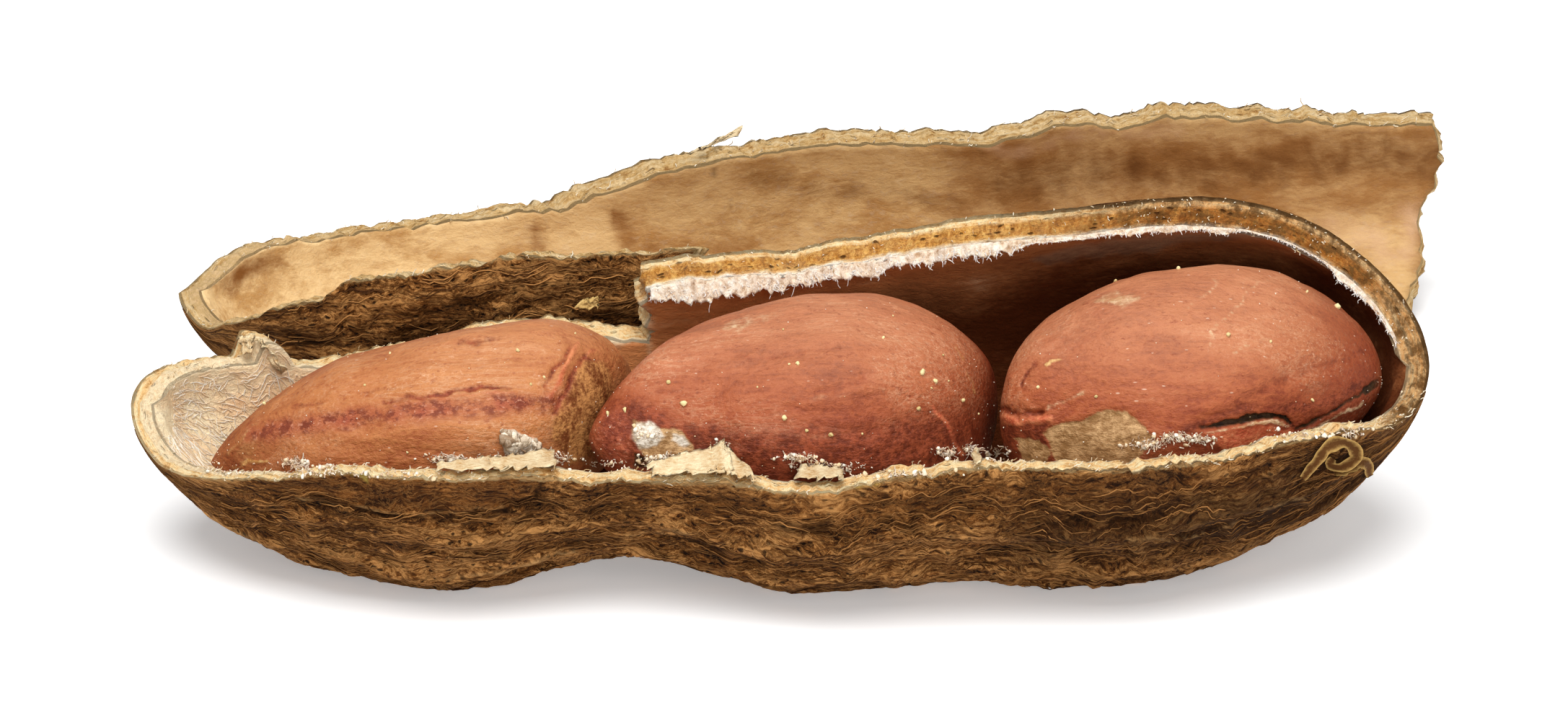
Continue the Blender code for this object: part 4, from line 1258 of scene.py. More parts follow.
def kernel_finish(name, light, mid, deep, shade_top, end):
    """Papery seed skin: clouds of tone, grain along the kernel, fine specks, and the marks.

    It has painted shade below the height shade_top, and towards the station end."""
    finish = Finish(name, roughness=0.52, specular_ior_level=0.22)
    waves = finish.warped(finish.here((0.4, 1.0, 1.0)), 0.5, 0.8)
    clouds = finish.noise(finish.here((0.5, 1.0, 1.0)), 0.28, 4.0, 0.6)
    streaks = finish.noise(finish.stretched(waves, (0.8, 3.2, 3.2)), 1.0, 4.0, 0.65)
    grain = finish.noise(finish.here((0.6, 1.0, 1.0)), 6.5, 3.0, 0.65)
    tone = clouds * 0.75 + streaks * 0.45 + grain * 0.40 - 0.30
    colour = finish.colours(tone, (0.28, deep), (0.47, mid), (0.70, light))
    veins = (1.0 - abs(streaks - 0.5) * 11.0).between(0.4, 1.0) * clouds.between(0.45, 0.6)
    colour = finish.mix(veins * 0.22, colour, (0.78, 0.50, 0.30))
    red_specks = 1.0 - finish.cells(finish.here(), 1.9).between(0.07, 0.17)
    colour = finish.mix(red_specks * 0.55, colour, deep)
    height = finish.part(finish.here(), 2)
    # Painted light: the kernels' tops are lighter and yellower above 8 mm.
    colour = finish.mix(height.between(8.0, 12.0) * (clouds + 0.2) * 0.48, colour, (0.80, 0.40, 0.21))
    # Painted shade on the lower part, and towards the station end.
    shade = (1.0 - (height + clouds * 2.0).between(shade_top - 4.6, shade_top)) * 0.95
    colour = finish.mix(shade, colour, (0.46, 0.26, 0.20), "MULTIPLY")
    along = finish.part(finish.here(), 0)
    end_shade = (along + clouds * 2.0 - 1.0).between(end - 5.5, end)
    colour = finish.mix(end_shade, colour, (0.66, 0.46, 0.36), "MULTIPLY")
    dust = finish.noise(finish.here(), 7.0, 5.0, 0.80).between(0.54, 0.68) * clouds.between(0.42, 0.62)
    colour = finish.mix(dust * 0.50, colour, (0.82, 0.50, 0.32))
    pores = finish.noise(finish.here((0.5, 1.0, 1.0)), 4.0, 5.0, 0.80).between(0.55, 0.70)
    colour = finish.mix(pores * 0.60, colour, deep)
    pale_specks = 1.0 - finish.cells(waves, 2.3).between(0.04, 0.09)
    colour = finish.mix(pale_specks * 0.45, colour, (0.86, 0.64, 0.48))
    scraps = finish.noise(finish.here((0.7, 1.0, 1.0)), 2.8, 4.0, 0.7)
    upright = finish.noise(finish.here((1.7, 1.1, 1.1)), 1.0, 5.0, 0.7)
    for layer, dark_tone, light_tone, breaking in SKIN_PAINTS:
        tone = finish.mix((upright * 0.7 + grain * 0.5 - 0.1).between(0.38, 0.64), dark_tone, light_tone)
        field = finish.field(layer)
        broken = field + (scraps - 0.5) * breaking * field
        colour = finish.mix(broken.between(0.12, 0.82), colour, tone)
    speckle = finish.field("speckle")
    colour = finish.mix(speckle * 0.70, colour, (0.36, 0.082, 0.036))
    dots = (speckle * scraps.between(0.38, 0.62)).between(0.10, 0.9)
    colour = finish.mix(dots * 0.8, colour, (0.16, 0.027, 0.012))
    colour = finish.mix(speckle * grain.between(0.56, 0.68) * 0.5, colour, (0.66, 0.30, 0.19))
    return finish.done(colour, streaks * 0.45 + grain * 0.65 + scraps * 0.3, 0.13, 1.0)


def plain_finish(name, dark, light, mottling=0.5):
    """A small torn thing's finish: its own tint, from dark to light, with a fine grain."""
    finish = Finish(name, roughness=0.85, specular_ior_level=0.12)
    grain = finish.noise(finish.here((1.0, 1.6, 1.6)), 4.0, 5.0, 0.70)
    tone = finish.field("tint") * 0.8 + grain * mottling + (0.10 - mottling * 0.5)
    return finish.done(finish.colours(tone, (0.1, dark), (0.8, light)), grain, 0.10 * mottling, 0.9)


def lining_finish():
    """The white lining under the hood: soft and tufty, and browner where it is thin."""
    finish = Finish("white_lining", roughness=0.9)
    bent = finish.stretched(finish.warped(finish.here(), 1.2, 0.5), (3.4, 2.4, 2.4))
    tufts = finish.noise(bent, 1.0, 5.0, 0.72)
    colour = finish.colours(
        tufts, (0.32, (0.50, 0.30, 0.16)), (0.47, (0.88, 0.70, 0.52)), (0.64, (1.0, 0.92, 0.80)),
    )
    return finish.done(colour, tufts, 0.20, 1.0)


class Tree:
    """A Geometry Nodes tree in the making, with named inputs and one result."""

    def __init__(self, name, **inputs):
        self.tree = bpy.data.node_groups.new(name, "GeometryNodeTree")
        face = self.tree.interface
        face.new_socket("Geometry", in_out="INPUT", socket_type="NodeSocketGeometry")
        for key, (kind, value) in inputs.items():
            socket = face.new_socket(key, in_out="INPUT", socket_type="NodeSocket" + kind)
            if value is not None:
                socket.default_value = value
        face.new_socket("Geometry", in_out="OUTPUT", socket_type="NodeSocketGeometry")
        self.given = self.tree.nodes.new("NodeGroupInput").outputs

    def node(self, kind, settings=None, inputs=None, output=0):
        made = self.tree.nodes.new(kind)
        for key, value in (settings or {}).items():
            setattr(made, key, value)
        for key, value in (inputs or {}).items():
            if isinstance(value, bpy.types.NodeSocket):
                self.tree.links.new(value, made.inputs[key])
            else:
                made.inputs[key].default_value = value
        return made.outputs[output]

    def named(self, name, kind="FLOAT"):
        return self.node("GeometryNodeInputNamedAttribute", {"data_type": kind}, {"Name": name})

    def end(self, geometry):
        real = self.node("GeometryNodeRealizeInstances", None, {"Geometry": geometry})
        inputs = {"Geometry": real, "Material": self.given["Material"]}
        finished = self.node("GeometryNodeSetMaterial", None, inputs)
        self.tree.links.new(finished, self.tree.nodes.new("NodeGroupOutput").inputs[0])
        return self

    def grown(self, source, **values):
        """The plain mesh object that this tree makes from a source, which goes."""
        modifier = source.modifiers.new("grown", "NODES")
        modifier.node_group = self.tree
        for item in self.tree.interface.items_tree:
            if item.in_out == "INPUT" and item.name in values:
                modifier[item.identifier] = values[item.name]
        ready = source.evaluated_get(bpy.context.evaluated_depsgraph_get())
        mesh = bpy.data.meshes.new_from_object(ready)
        name = source.name
        source.modifiers.remove(modifier)
        bpy.data.objects.remove(source)
        mesh.shade_smooth()
        return put_in_scene(name, mesh)


def fibre_tree():
    """Thin closed tubes along the edges of a mesh, as thick as each point says."""
    tree = Tree("torn_fibres", Sides=("Int", 3), Material=("Material", None))
    lines = tree.node("GeometryNodeMeshToCurve", None, {"Mesh": tree.given["Geometry"]})
    inputs = {"Resolution": tree.given["Sides"], "Radius": 1.0}
    ring = tree.node("GeometryNodeCurvePrimitiveCircle", None, inputs)
    inputs = {"Curve": lines, "Profile Curve": ring, "Scale": tree.named("thickness"), "Fill Caps": True}
    return tree.end(tree.node("GeometryNodeCurveToMesh", None, inputs))


def crumb_tree():
    """A small lumpy grain at each point, each one turned, sized and dented in its own way."""
    inputs = {"Detail": ("Int", 1), "Dents": ("Float", 0.35), "Seed": ("Int", 5)}
    tree = Tree("crumbs", Material=("Material", None), **inputs)
    inputs = {"Radius": 1.0, "Subdivisions": tree.given["Detail"]}
    grain = tree.node("GeometryNodeMeshIcoSphere", None, inputs)
    turns = {0: (0.0, 0.0, 0.0), 1: (6.28, 6.28, 6.28), "Seed": tree.given["Seed"]}
    turn = tree.node("FunctionNodeRandomValue", {"data_type": "FLOAT_VECTOR"}, turns)
    rotation = tree.node("FunctionNodeEulerToRotation", None, {0: turn})
    inputs = {
        "Points": tree.given["Geometry"], "Instance": grain, "Rotation": rotation,
        "Scale": tree.named("extent", "FLOAT_VECTOR"),
    }
    placed = tree.node("GeometryNodeInstanceOnPoints", None, inputs)
    real = tree.node("GeometryNodeRealizeInstances", None, {"Geometry": placed})
    noise = tree.node("ShaderNodeTexNoise", None, {"Scale": 7000.0, "Detail": 1.0}, "Color")
    centred = tree.node("ShaderNodeVectorMath", {"operation": "SUBTRACT"}, {0: noise, 1: (0.5, 0.5, 0.5)})
    reach = tree.node(
        "ShaderNodeMath", {"operation": "MULTIPLY"}, {0: tree.named("thickness"), 1: tree.given["Dents"]},
    )
    push = tree.node("ShaderNodeVectorMath", {"operation": "SCALE"}, {0: centred, "Scale": reach})
    return tree.end(tree.node("GeometryNodeSetPosition", None, {"Geometry": real, "Offset": push}))


def source_mesh(name, places, edges, **values):
    """Loose points and edges for a tree to grow from, with their named values."""
    mesh = bpy.data.meshes.new(name)
    mesh.from_pydata((places.reshape(-1, 3) * MM).tolist(), edges, [])
    for key, value in values.items():
        set_values(mesh, key, value)
    return put_in_scene(name, mesh)


def settle(piece, node=None):
    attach(piece, "root")
    if node:
        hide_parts(node)


def grow_fibres(tree, name, paths, widths, tints, material):
    """Fibres along paths of points, as wide as given and narrower at their ends."""
    count, steps = paths.shape[:2]
    share = np.linspace(0.0, 1.0, steps)[None, :]
    taper = 0.25 + 0.75 * np.sin(math.pi * (0.12 + 0.80 * share)) ** 0.7
    thickness = widths[:, None] / 2.0 * taper * MM
    first = np.arange(count)[:, None] * steps + np.arange(steps - 1)[None, :]
    edges = np.stack([first, first + 1], axis=-1).reshape(-1, 2).tolist()
    source = source_mesh(name, paths, edges, thickness=thickness, tint=np.repeat(tints, steps))
    settle(tree.grown(source, Sides=FIBRE_SIDES, Material=material))


def grow_crumbs(tree, name, places, sizes, tints, material, detail=1, seed=5):
    """Grains at points, with their radii."""
    draw = np.random.default_rng(seed)
    shape = draw.uniform(0.65, 1.2, (len(places), 3)) * sizes[:, None] * MM
    source = source_mesh(name, places, [], extent=shape, thickness=sizes * MM, tint=tints)
    grown = tree.grown(source, Detail=detail, Seed=seed, Dents=CRUMB_DENTS, Material=material)
    settle(grown)


class Surface:
    """The points of finished pieces that face the camera, to find what a place in the photo shows."""

    def __init__(self, *pieces):
        places = []
        normals = []
        for piece in pieces:
            mesh = piece.data
            read = np.empty(len(mesh.vertices) * 3, np.float32)
            mesh.vertices.foreach_get("co", read)
            places.append(read.reshape(-1, 3).astype(float) / MM)
            mesh.vertex_normals.foreach_get("vector", read)
            normals.append(read.reshape(-1, 3).astype(float))
        places = np.concatenate(places)
        normals = np.concatenate(normals)
        facing = normals @ TO_CAMERA > 0.05
        self.places = places[facing]
        self.normals = normals[facing]
        self.x, self.y, self.away = photo_place(self.places)

    def at(self, x, y, reach=6.0):
        """The place and normal nearest the camera among those within reach of a pixel."""
        miss = np.hypot(self.x - x, self.y - y)
        close = miss < max(reach, miss.min() + 1.0)
        number = np.argmin(np.where(close, self.away + miss * 0.02, 1e9))
        return self.places[number], self.normals[number]

    def all_at(self, spots):
        found = [self.at(*spot) for spot in spots]
        return np.array([place for place, _ in found]), np.array([normal for _, normal in found])


def make_shells():
    front = FrontShell(
        FRONT_AXIS, FRONT_TIPS, WALL, (FRONT_NEAR_EDGE, FRONT_LOW_EDGE, FRONT_HOOD_EDGE),
        rows=(24, 6), stations=(34, 54), break_at=-5.7, seed=11,
    )
    back = BackShell(
        BACK_AXIS, BACK_TIPS, BACK_WALL, (BACK_CHEEK_EDGE, BACK_SEAM_LINE, BACK_FAR_EDGE),
        rows=(10, 14), stations=(30, 40), break_at=-3.6, seed=31,
    )
    front_finishes = [
        outside_finish("front_outside", paler=0.0),
        rim_finish(
            "front_rim", (0.52, 0.24, 0.065), (0.92, 0.58, 0.25), (1.0, 0.84, 0.50), (1.0, 0.82, 0.54),
            sponge=1.0,
        ),
        inside_finish(
            "front_inside", (1.0, 0.83, 0.54), (1.0, 0.70, 0.40), (0.72, 0.28, 0.095), (0.12, 0.026, 0.005),
            woolly=0.50, stain_and_shade_rightwards=0.0,
        ),
    ]
    back_finishes = [
        outside_finish("back_outside", paler=0.06),
        rim_finish(
            "back_rim", (0.36, 0.17, 0.05), (0.64, 0.40, 0.155), (0.84, 0.63, 0.35), (0.66, 0.44, 0.20),
            sponge=0.0,
        ),
        inside_finish(
            "back_inside", (0.87, 0.62, 0.31), (0.54, 0.30, 0.105), (0.27, 0.110, 0.028),
            (0.135, 0.048, 0.010), woolly=0.10, stain_and_shade_rightwards=0.66,
        ),
    ]
    front_piece = front.mesh(
        "shell_front_fine", FRONT_FINE_STATIONS, FRONT_FINE_ROWS, front_finishes,
        inside=((), FRONT_INSIDE_AREAS), outside=(OUTSIDE_LINES, OUTSIDE_AREAS),
    )
    back_piece = back.mesh(
        "shell_back_fine", BACK_FINE_STATIONS, BACK_FINE_ROWS, back_finishes,
        inside=(LID_LINES, LID_AREAS), outside=((), CHEEK_AREAS),
    )
    settle(front_piece, "shell_front")
    settle(back_piece, "shell_back")
    return front, back, front_piece, back_piece


def make_kernels():
    kernels = {
        # Each kernel's skin: light, middle and deep tones, the height below which it has painted shade, and
        # the station towards which it has painted shade.
        "kernel_left": (
            Kernel(LEFT_KERNEL, ((6.0, 0.75), (4.0, 0.33)), (0.0, 0.42), 5, 51, None),
            ((0.54, 0.215, 0.074), (0.45, 0.152, 0.047), (0.27, 0.056, 0.016), 8.4, 2.0),
            (LEFT_LINES, LEFT_AREAS),
        ),
        "kernel_middle": (
            Kernel(MIDDLE_KERNEL, ((3.5, 0.6), (6.0, 0.35)), (0.22, 0.30), 4, 61, None),
            ((0.46, 0.138, 0.055), (0.35, 0.080, 0.026), (0.18, 0.027, 0.009), 10.4, 9.0),
            (MIDDLE_LINES, MIDDLE_AREAS),
        ),
        "kernel_right": (
            Kernel(RIGHT_KERNEL, ((6.0, 0.36), (7.5, 0.5)), (0.30, 0.0), 4, 71, RIGHT_BEAK),
            ((0.45, 0.142, 0.055), (0.37, 0.088, 0.029), (0.21, 0.033, 0.012), 9.6, 22.5),
            (RIGHT_LINES, RIGHT_AREAS),
        ),
    }
    pieces = []
    for node, (kernel, tones, marks) in kernels.items():
        finish = kernel_finish(node + "_skin", *tones)
        pieces.append(kernel.mesh(node + "_fine", [finish], *marks))
        settle(pieces[-1], node)
    return pieces


def bent_paths(draw, bases, directions, lengths, curl, steps=5):
    """Paths that leave their bases along directions and bend off, each in its own way."""
    share = np.linspace(0.0, 1.0, steps)[None, :, None]
    bend = draw.normal(size=(len(bases), 1, 3)) * curl
    wave = draw.normal(size=(len(bases), 1, 3)) * curl * 0.3
    run = directions[:, None] * share + bend * share**2 + wave * np.sin(share * 7.0)
    return bases[:, None] + run * lengths[:, None, None]


def skin_paths(draw, shell, count, stations, rows, run, lift, inner=False, steps=8):
    """Wavy paths along a shell's skin, or every way across an inner one, from drawn places."""
    share = np.linspace(0.0, 1.0, steps)[None, :]
    first = draw.uniform(*stations, count)[:, None]
    row = draw.uniform(*rows, count)[:, None]
    length = run * draw.uniform(0.4, 1.0, count)[:, None]
    turn = draw.uniform(-math.pi, math.pi, count)[:, None] if inner else 0.0
    i = np.clip(first + length * share * np.cos(turn), *stations)
    x = shell.station(i)
    sway = 0.6 * shell.coarse(x * 0.45, row * 0.8, 31.0) + 0.16 * shell.fine(x * 1.5, row * 1.5, 33.0)
    j = np.clip(row + sway + length * share * np.sin(turn), *rows)
    places = shell.skin(i, j, inner)[0]
    outward = places - to_part(x, smooth_value(shell.axis, x, 1), smooth_value(shell.axis, x, 2))
    outward[..., 0] = 0.0
    outward /= np.maximum(np.linalg.norm(outward, axis=-1), 0.5)[..., None]
    places = places + outward * lift
    places[..., 2] = np.maximum(places[..., 2], 0.06)
    return places


def make_fibres(tree, front, back):
    """Tan fibres along the outsides, and pale matted ones in the left cup."""
    draw = np.random.default_rng(301)
    tan = plain_finish("outer_fibres", (0.05, 0.015, 0.003), (0.44, 0.20, 0.060))
    silk = plain_finish("silky_fibres", (0.84, 0.64, 0.42), (1.0, 0.95, 0.84))
    groups = (
        ("near_side_fibres", tan, front, 2300, (0.8, 87.0), (0.8, 12.0), 3.0, 0.010, False, (0.03, 0.08)),
        ("far_side_fibres", tan, front, 700, (0.8, 87.0), (12.0, 23.8), 4.5, 0.012, False, (0.04, 0.10)),
        ("hood_fibres", tan, front, 500, (34.5, 87.0), (24.2, 29.8), 3.6, 0.012, False, (0.03, 0.09)),
        ("cheek_fibres", tan, back, 460, (0.8, 29.5), (0.2, 9.8), 3.0, 0.012, False, (0.03, 0.09)),
        ("back_side_fibres", tan, back, 800, (0.8, 69.0), (10.2, 23.8), 3.6, 0.012, False, (0.04, 0.10)),
        ("cup_fibres", silk, front, 1500, (1.5, 20.0), (0.5, 23.5), 1.8, -0.035, True, (0.025, 0.05)),
    )
    for name, finish, shell, count, stations, rows, run, lift, inner, width in groups:
        paths = skin_paths(draw, shell, count, stations, rows, run, lift, inner)
        if name == "near_side_fibres":
            x, y, _ = photo_place(paths[:, 3])
            paths = paths[area_depth(x, y, OUTSIDE_AREAS[0][4]) < 4.0]
            count = len(paths)
        widths = draw.uniform(*width, count)
        tints = draw.uniform(0.0, 1.0, count) ** 1.4
        grow_fibres(tree, name, paths, widths, tints, finish)


def make_fringes(tree, front, back):
    """Short fibres that stand out of the torn edges."""
    draw = np.random.default_rng(302)
    cream = plain_finish("torn_fringe", (0.62, 0.42, 0.19), (0.98, 0.88, 0.68))
    rows = sum(front.rows)
    edges = (
        ("near_rim_fringe", front, 1300, (1.0, 87.0), 0.0, (1.2, 0.0, 0.5), (0.04, 0.16)),
        ("hood_rim_fringe", front, 700, (34.5, 87.0), float(rows), (0.0, -0.8, 0.0), (0.04, 0.14)),
        ("back_rim_fringe", back, 500, (1.0, 69.0), float(sum(back.rows)), (0.8, -0.2, 0.7), (0.04, 0.18)),
        ("cheek_rim_fringe", back, 200, (1.0, 29.5), 0.0, (0.8, -0.1, 0.7), (0.04, 0.16)),
        ("low_rim_fringe", front, 200, (1.0, 33.5), 24.0, (0.8, -0.1, 0.7), (0.04, 0.18)),
    )
    for name, shell, count, stations, row, way, length in edges:
        i = draw.uniform(*stations, count)[:, None]
        j = np.full_like(i, row)
        outer = shell.skin(i, j, False)[0][:, 0]
        inner = shell.skin(i, j, True)[0][:, 0]
        bases = outer + (inner - outer) * draw.uniform(0.0, 1.0, count)[:, None]
        directions = np.array(way) + draw.normal(size=(count, 3)) * 0.45
        paths = bent_paths(draw, bases, directions, draw.uniform(*length, count), 0.5)
        widths = draw.uniform(0.025, 0.06, count)
        grow_fibres(tree, name, paths, widths, draw.uniform(0.0, 1.0, count), cream)


def make_lining(tree, front):
    """The white papery lining, torn off ragged under the hood's rim, with fibres at its edge."""
    draw = np.random.default_rng(303)
    lint = plain_finish("white_lint", (0.74, 0.66, 0.58), (0.98, 0.96, 0.93))
    i = np.linspace(34.2, 86.5, 520)[:, None]
    j = np.full_like(i, float(sum(front.rows)))
    edge = front.skin(i, j, True)[0][:, 0]
    outer = front.skin(i, j, False)[0][:, 0]
    x = front.station(i[:, 0])
    ragged = Noise(96)
    hang = np.interp(x, *np.array(LINING_HANG).T)
    tears = 0.95 + 0.45 * ragged(x * 0.9, 0.0) + 0.30 * ragged(x * 2.6, 3.0) + 0.24 * ragged(x * 6.0, 6.0)
    lengths = hang * np.clip(tears, 0.25, 1.6)
    base = edge + (outer - edge) * 0.20 + np.array((0.0, -0.20, -0.02))
    drop = np.array((0.06, -0.42, -0.90))
    settle(make_ribbon("hood_lining", base, drop, lengths, lining_finish()))
    count = 900
    pick = draw.integers(0, len(x), count)
    share = draw.uniform(0.35, 1.0, count)[:, None]
    bases = base[pick] + drop * lengths[pick][:, None] * share
    directions = drop + draw.normal(size=(count, 3)) * 0.4
    reach = draw.uniform(0.06, 0.20, count) * np.clip(hang[pick] * 2.0, 0.3, 1.0)
    paths = bent_paths(draw, bases, directions, reach, 0.5)
    widths = draw.uniform(0.025, 0.05, count)
    grow_fibres(tree, "lining_fringe", paths, widths, draw.uniform(0.3, 1.0, count), lint)


def make_lint(tree, surfaces):
    """White and cream lint, caught on the near rim and against the kernels."""
    draw = np.random.default_rng(304)
    lint = plain_finish("caught_lint", (0.70, 0.46, 0.28), (0.96, 0.86, 0.72))
    bases = []
    lengths = []
    for x, y, spread, count, length in LINT:
        for _ in range(count):
            place, normal = surfaces.at(x + 0.7 * spread * draw.normal(), y + 3.0 * draw.normal())
            bases.append(place + normal * 0.02)
            lengths.append(length * draw.uniform(*LINT_SHARE))
    bases = np.array(bases)
    directions = np.array((0.0, -0.45, 0.35)) + draw.normal(size=bases.shape) * 0.65
    paths = bent_paths(draw, bases, directions, np.array(lengths), 0.5, 4)
    paths[..., 2] = np.maximum(paths[..., 2], 0.03)
    count = len(bases)
    widths = draw.uniform(0.025, 0.075, count)
    grow_fibres(tree, "rim_lint", paths, widths, draw.uniform(0.0, 1.0, count), lint)


def make_crumbs(tree, kernels, everything):
    """Yellow-green crumbs on the kernels, dust, grey lumps, and crumbs along the near rim."""
    draw = np.random.default_rng(305)
    yellow = plain_finish("yellow_crumbs", (0.48, 0.32, 0.10), (0.90, 0.76, 0.40))
    grey = plain_finish("grey_crumbs", (0.34, 0.22, 0.13), (0.98, 0.86, 0.68), 0.8)
    cream = plain_finish("cream_crumbs", (0.84, 0.62, 0.36), (1.0, 0.94, 0.80))
    places, normals = kernels.all_at([(x, y) for x, y, _ in CRUMBS])
    sizes = np.array([radius for _, _, radius in CRUMBS]) * 0.8
    places = places + normals * sizes[:, None] * 0.4
    tints = draw.uniform(0.3, 1.0, len(sizes))
    grow_crumbs(tree, "kernel_crumbs", places, sizes, tints, yellow, detail=2)
    count = 260
    pick = draw.integers(0, len(kernels.places), count)
    places = kernels.places[pick] + kernels.normals[pick] * 0.01
    sizes = draw.uniform(0.012, 0.032, count)
    tints = draw.uniform(0.0, 1.0, count)
    grow_crumbs(tree, "kernel_dust", places, sizes, tints, cream, seed=6)
    spots = []
    sizes = []
    for x, y, radius in GREY_LUMPS:
        for _ in range(22):
            reach = radius / 0.029 * 0.5
            spots.append((x + reach * draw.normal() * 0.6, y + reach * draw.normal() * 0.6))
            sizes.append(radius * draw.uniform(0.25, 0.80))
    places, normals = everything.all_at(spots)
    sizes = np.array(sizes)
    places = places + normals * sizes[:, None] * 0.3
    tints = draw.uniform(0.0, 1.0, len(sizes))
    grow_crumbs(tree, "grey_lumps", places, sizes, tints, grey, detail=2, seed=7)
    spots = []
    for x, y, spread, count, _ in LINT:
        spots += [(x + spread * draw.normal(), y + 3.0 * draw.normal()) for _ in range(count // 5)]
    places, normals = everything.all_at(spots)
    sizes = draw.uniform(0.03, 0.12, len(spots))
    tints = draw.uniform(0.0, 1.0, len(spots))
    grow_crumbs(tree, "rim_crumbs", places + normals * 0.03, sizes, tints, cream, seed=8)


def make_curls(surface):
    """The flat curled strip that has come off the outside at the right."""
    finish = plain_finish("curl", (0.10, 0.038, 0.009), (0.56, 0.34, 0.105), 0.9)
    wander = Noise(99)
    for number, curl in enumerate(CURLS):
        keys = np.linspace(0.0, 1.0, len(curl))
        table = [(key, *spot) for key, spot in zip(keys, curl)]
        share = np.linspace(0.0, 1.0, CURL_STEPS)
        spots = np.stack([smooth_value(table, share, 1), smooth_value(table, share, 2)], axis=1)
        bent = [wander(share * 7.0, number), wander(share * 7.0, number + 5.0)]
        spots = spots + 1.6 * np.stack(bent, axis=1)
        places, _ = surface.all_at(spots)
        away = photo_place(places)[2]
        away = np.convolve(np.pad(away, 6, mode="edge"), np.full(13, 1.0 / 13.0), "valid")
        stand = 0.12 + 0.30 * np.sin(math.pi * share)
        path = np.array([photo_point(*spot, far - out) for spot, far, out in zip(spots, away, stand)])
        ahead = np.gradient(path, axis=0)
        side = np.cross(ahead, TO_CAMERA)
        side /= np.linalg.norm(side, axis=1)[:, None]
        width = CURL_HALF_WIDTH * (0.30 + 0.70 * np.sin(math.pi * (share * 0.92 + 0.04)) ** 0.5)
        width = width * (1.0 + 0.35 * wander(share * 9.0, number + 10.0))
        turn = np.linspace(0.0, 2 * math.pi, CURL_SIDES, endpoint=False)[None, :, None]
        wide = side[:, None] * np.cos(turn) * width[:, None, None]
        thick = TO_CAMERA * (0.045 * np.sin(turn) + 0.07 * np.cos(2.0 * turn))
        body = Body()
        # The tint is lighter at the strip's edges and darker on its flat faces: painted highlights on the
        # edges and painted shade on the faces.
        tint = (0.36 + 0.5 * np.cos(2.0 * turn[..., 0])) * np.ones((len(path), 1))
        round_points = body.add_points(path[:, None] + wide + thick, tint=tint)
        body.add_faces(grid_faces(np.concatenate([round_points, round_points[:, :1]], axis=1)), 0)
        for end, ring in ((path[0], round_points[0]), (path[-1], round_points[-1])):
            middle = body.add_points(end[None], tint=np.array([0.5]))[0]
            body.add_faces(np.stack([ring, np.roll(ring, -1), np.full(CURL_SIDES, middle)], axis=-1), 0)
        piece = body.make(f"curl_{number}", [finish])
        point_outwards(piece)
        settle(piece)


def make_flakes(surfaces):
    """Thin torn bits with four corners, wavy and closed, standing out from what carries them."""
    finishes = {
        "chip": plain_finish("yellow_chip", (0.45, 0.26, 0.07), (0.80, 0.56, 0.22), 1.0),
        "cream": plain_finish("cream_flake", (0.58, 0.31, 0.10), (1.0, 0.86, 0.56), 1.5),
    }
    rough = Noise(98)
    for name, owner, corners, stand in FLAKES:
        surface = surfaces[owner]
        places = []
        for x, y in corners:
            away = photo_place(surface.at(x, y, 14.0)[0])[2]
            places.append(photo_point(x, y, away - stand))
        a, b, c, d = places
        u = np.linspace(0.0, 1.0, FLAKE_GRID[0])[:, None, None]
        v = np.linspace(0.0, 1.0, FLAKE_GRID[1])[None, :, None]
        face = (a * (1 - v) + d * v) * (1 - u) + (b * (1 - v) + c * v) * u
        wave = rough(face[..., 0] * 2.2, face[..., 2] * 2.2, 5.0)
        torn = rough(face[..., 0] * 5.0, face[..., 2] * 5.0, 9.0)
        shred = rough(face[..., 0] * 13.0, face[..., 2] * 13.0, 12.0)
        rim = 1.0 - np.minimum(np.minimum(u, 1 - u), np.minimum(v, 1 - v))[..., 0] * 2.0
        ragged = (0.16 * torn + 0.10 * shred) * rim
        face = face + np.stack([ragged, 0.20 * wave + 0.16 * shred, ragged], axis=-1)
        body = Body()
        tint = 0.5 + 0.4 * wave
        front_side = body.add_points(face, tint=tint)
        back_side = body.add_points(face + FLAKE_BACK, tint=tint)
        body.add_faces(grid_faces(front_side), 0)
        body.add_faces(grid_faces(back_side)[:, ::-1], 0)
        edges = (
            (front_side[:, 0], back_side[:, 0]), (back_side[:, -1], front_side[:, -1]),
            (back_side[0], front_side[0]), (front_side[-1], back_side[-1]),
        )
        for first, second in edges:
            body.add_faces(np.stack([first[:-1], first[1:], second[1:], second[:-1]], axis=-1), 0)
        piece = body.make(name, [finishes["chip" if name == "chip" else "cream"]])
        point_outwards(piece)
        settle(piece)


def point_outwards(piece):
    """Turns a closed mesh's faces out."""
    work = bmesh.new()
    work.from_mesh(piece.data)
    bmesh.ops.recalc_face_normals(work, faces=work.faces[:])
    work.to_mesh(piece.data)
    work.free()


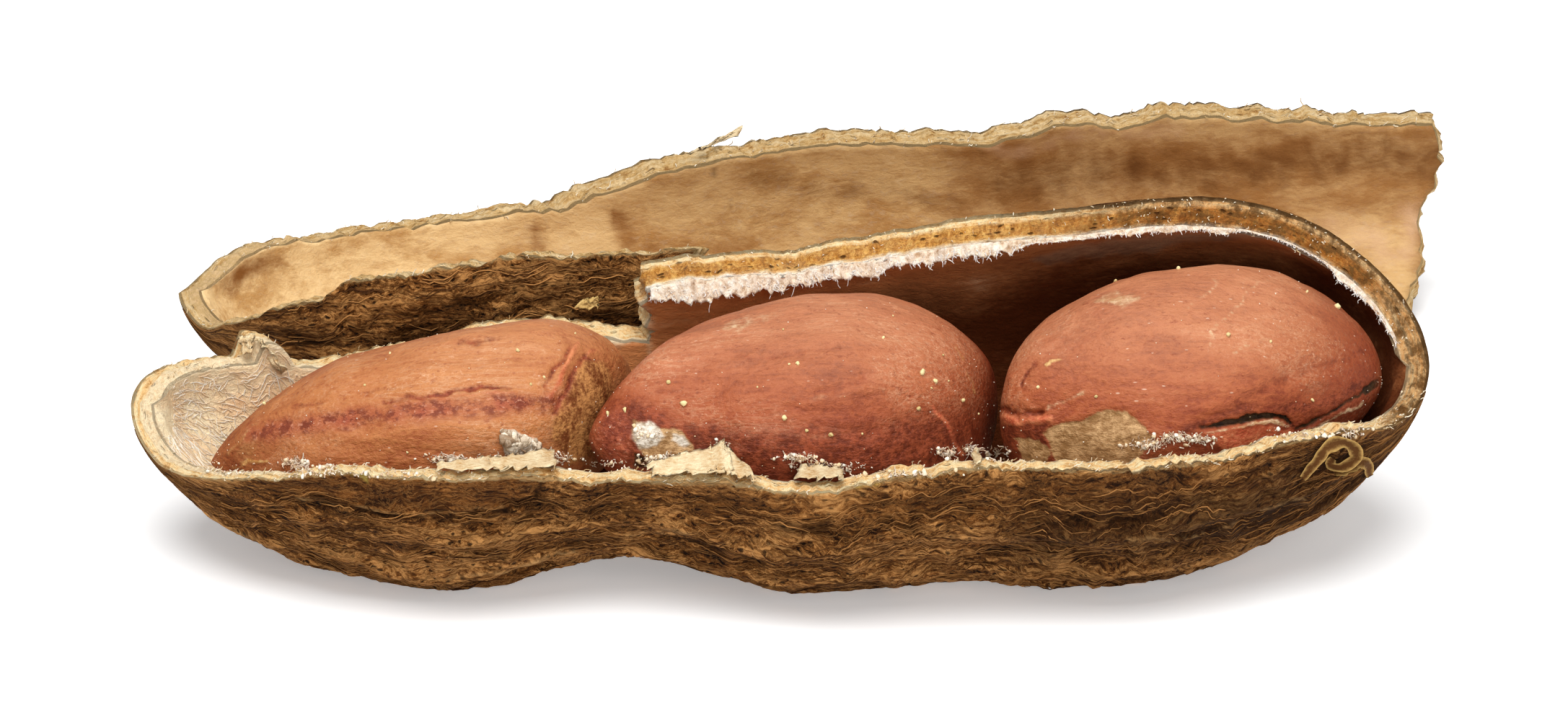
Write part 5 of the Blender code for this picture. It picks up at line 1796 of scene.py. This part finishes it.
def make_details(front, back, front_piece, back_piece, kernel_pieces):
    fibres = fibre_tree()
    crumbs = crumb_tree()
    shells = {"front": Surface(front_piece), "back": Surface(back_piece)}
    kernels = Surface(*kernel_pieces)
    everything = Surface(front_piece, *kernel_pieces)
    make_fibres(fibres, front, back)
    make_fringes(fibres, front, back)
    make_lining(fibres, front)
    make_lint(fibres, everything)
    make_crumbs(crumbs, kernels, everything)
    make_curls(shells["front"])
    make_flakes({**shells, "all": everything})


def make_floor():
    finish = Finish("floor_card", roughness=0.9, emission_color=(1.0, 1.0, 1.0, 1.0), emission_strength=0.30)
    speckle = finish.noise(finish.here(), 0.05, 2.0)
    finish.done(finish.mix(speckle * 0.02, (0.86, 0.86, 0.86), (0.84, 0.84, 0.84)))
    mesh = bpy.data.meshes.new("floor")
    half = 1.5
    corners = [(-half, -half, 0), (half, -half, 0), (half, half, 0), (-half, half, 0)]
    mesh.from_pydata(corners, [], [(0, 1, 2, 3)])
    mesh.materials.append(finish.material)
    floor = put_in_scene("floor", mesh)


def make_light(name, place, target, size, power):
    data = bpy.data.lights.new(name, "AREA")
    data.shape = "DISK"
    data.size = size
    data.energy = power
    light = put_in_scene(name, data)
    light.location = place
    light.rotation_euler = (Vector(target) - Vector(place)).to_track_quat("-Z", "Y").to_euler()


def make_studio():
    world = bpy.data.worlds.new("studio")
    bpy.context.scene.world = world
    world.use_nodes = True
    world.node_tree.nodes["Background"].inputs["Color"].default_value = (1.0, 1.0, 1.0, 1.0)
    world.node_tree.nodes["Background"].inputs["Strength"].default_value = 0.32
    make_light("key", (-0.04, -0.14, 0.49), (0.0, 0.0, 0.0), 0.42, 3.0)
    make_light("front_fill", (0.16, -0.42, 0.26), (-0.01, 0.0, 0.005), 0.30, 0.65)


def make_camera():
    data = bpy.data.cameras.new("photo_camera")
    data.lens = CAMERA_LENS
    data.sensor_width = CAMERA_SENSOR
    data.clip_start = 0.01
    data.clip_end = 10.0
    camera = put_in_scene("photo_camera", data)
    camera.location = (np.array(CAMERA_TARGET) + TO_CAMERA * CAMERA_DISTANCE) * MM
    camera.rotation_euler = (math.radians(90.0 - CAMERA_ELEVATION), 0.0, 0.0)
    bpy.context.scene.camera = camera
    bpy.context.scene.view_settings.view_transform = "Standard"


make_camera()
shells = make_shells()
make_details(*shells, make_kernels())
make_floor()
make_studio()
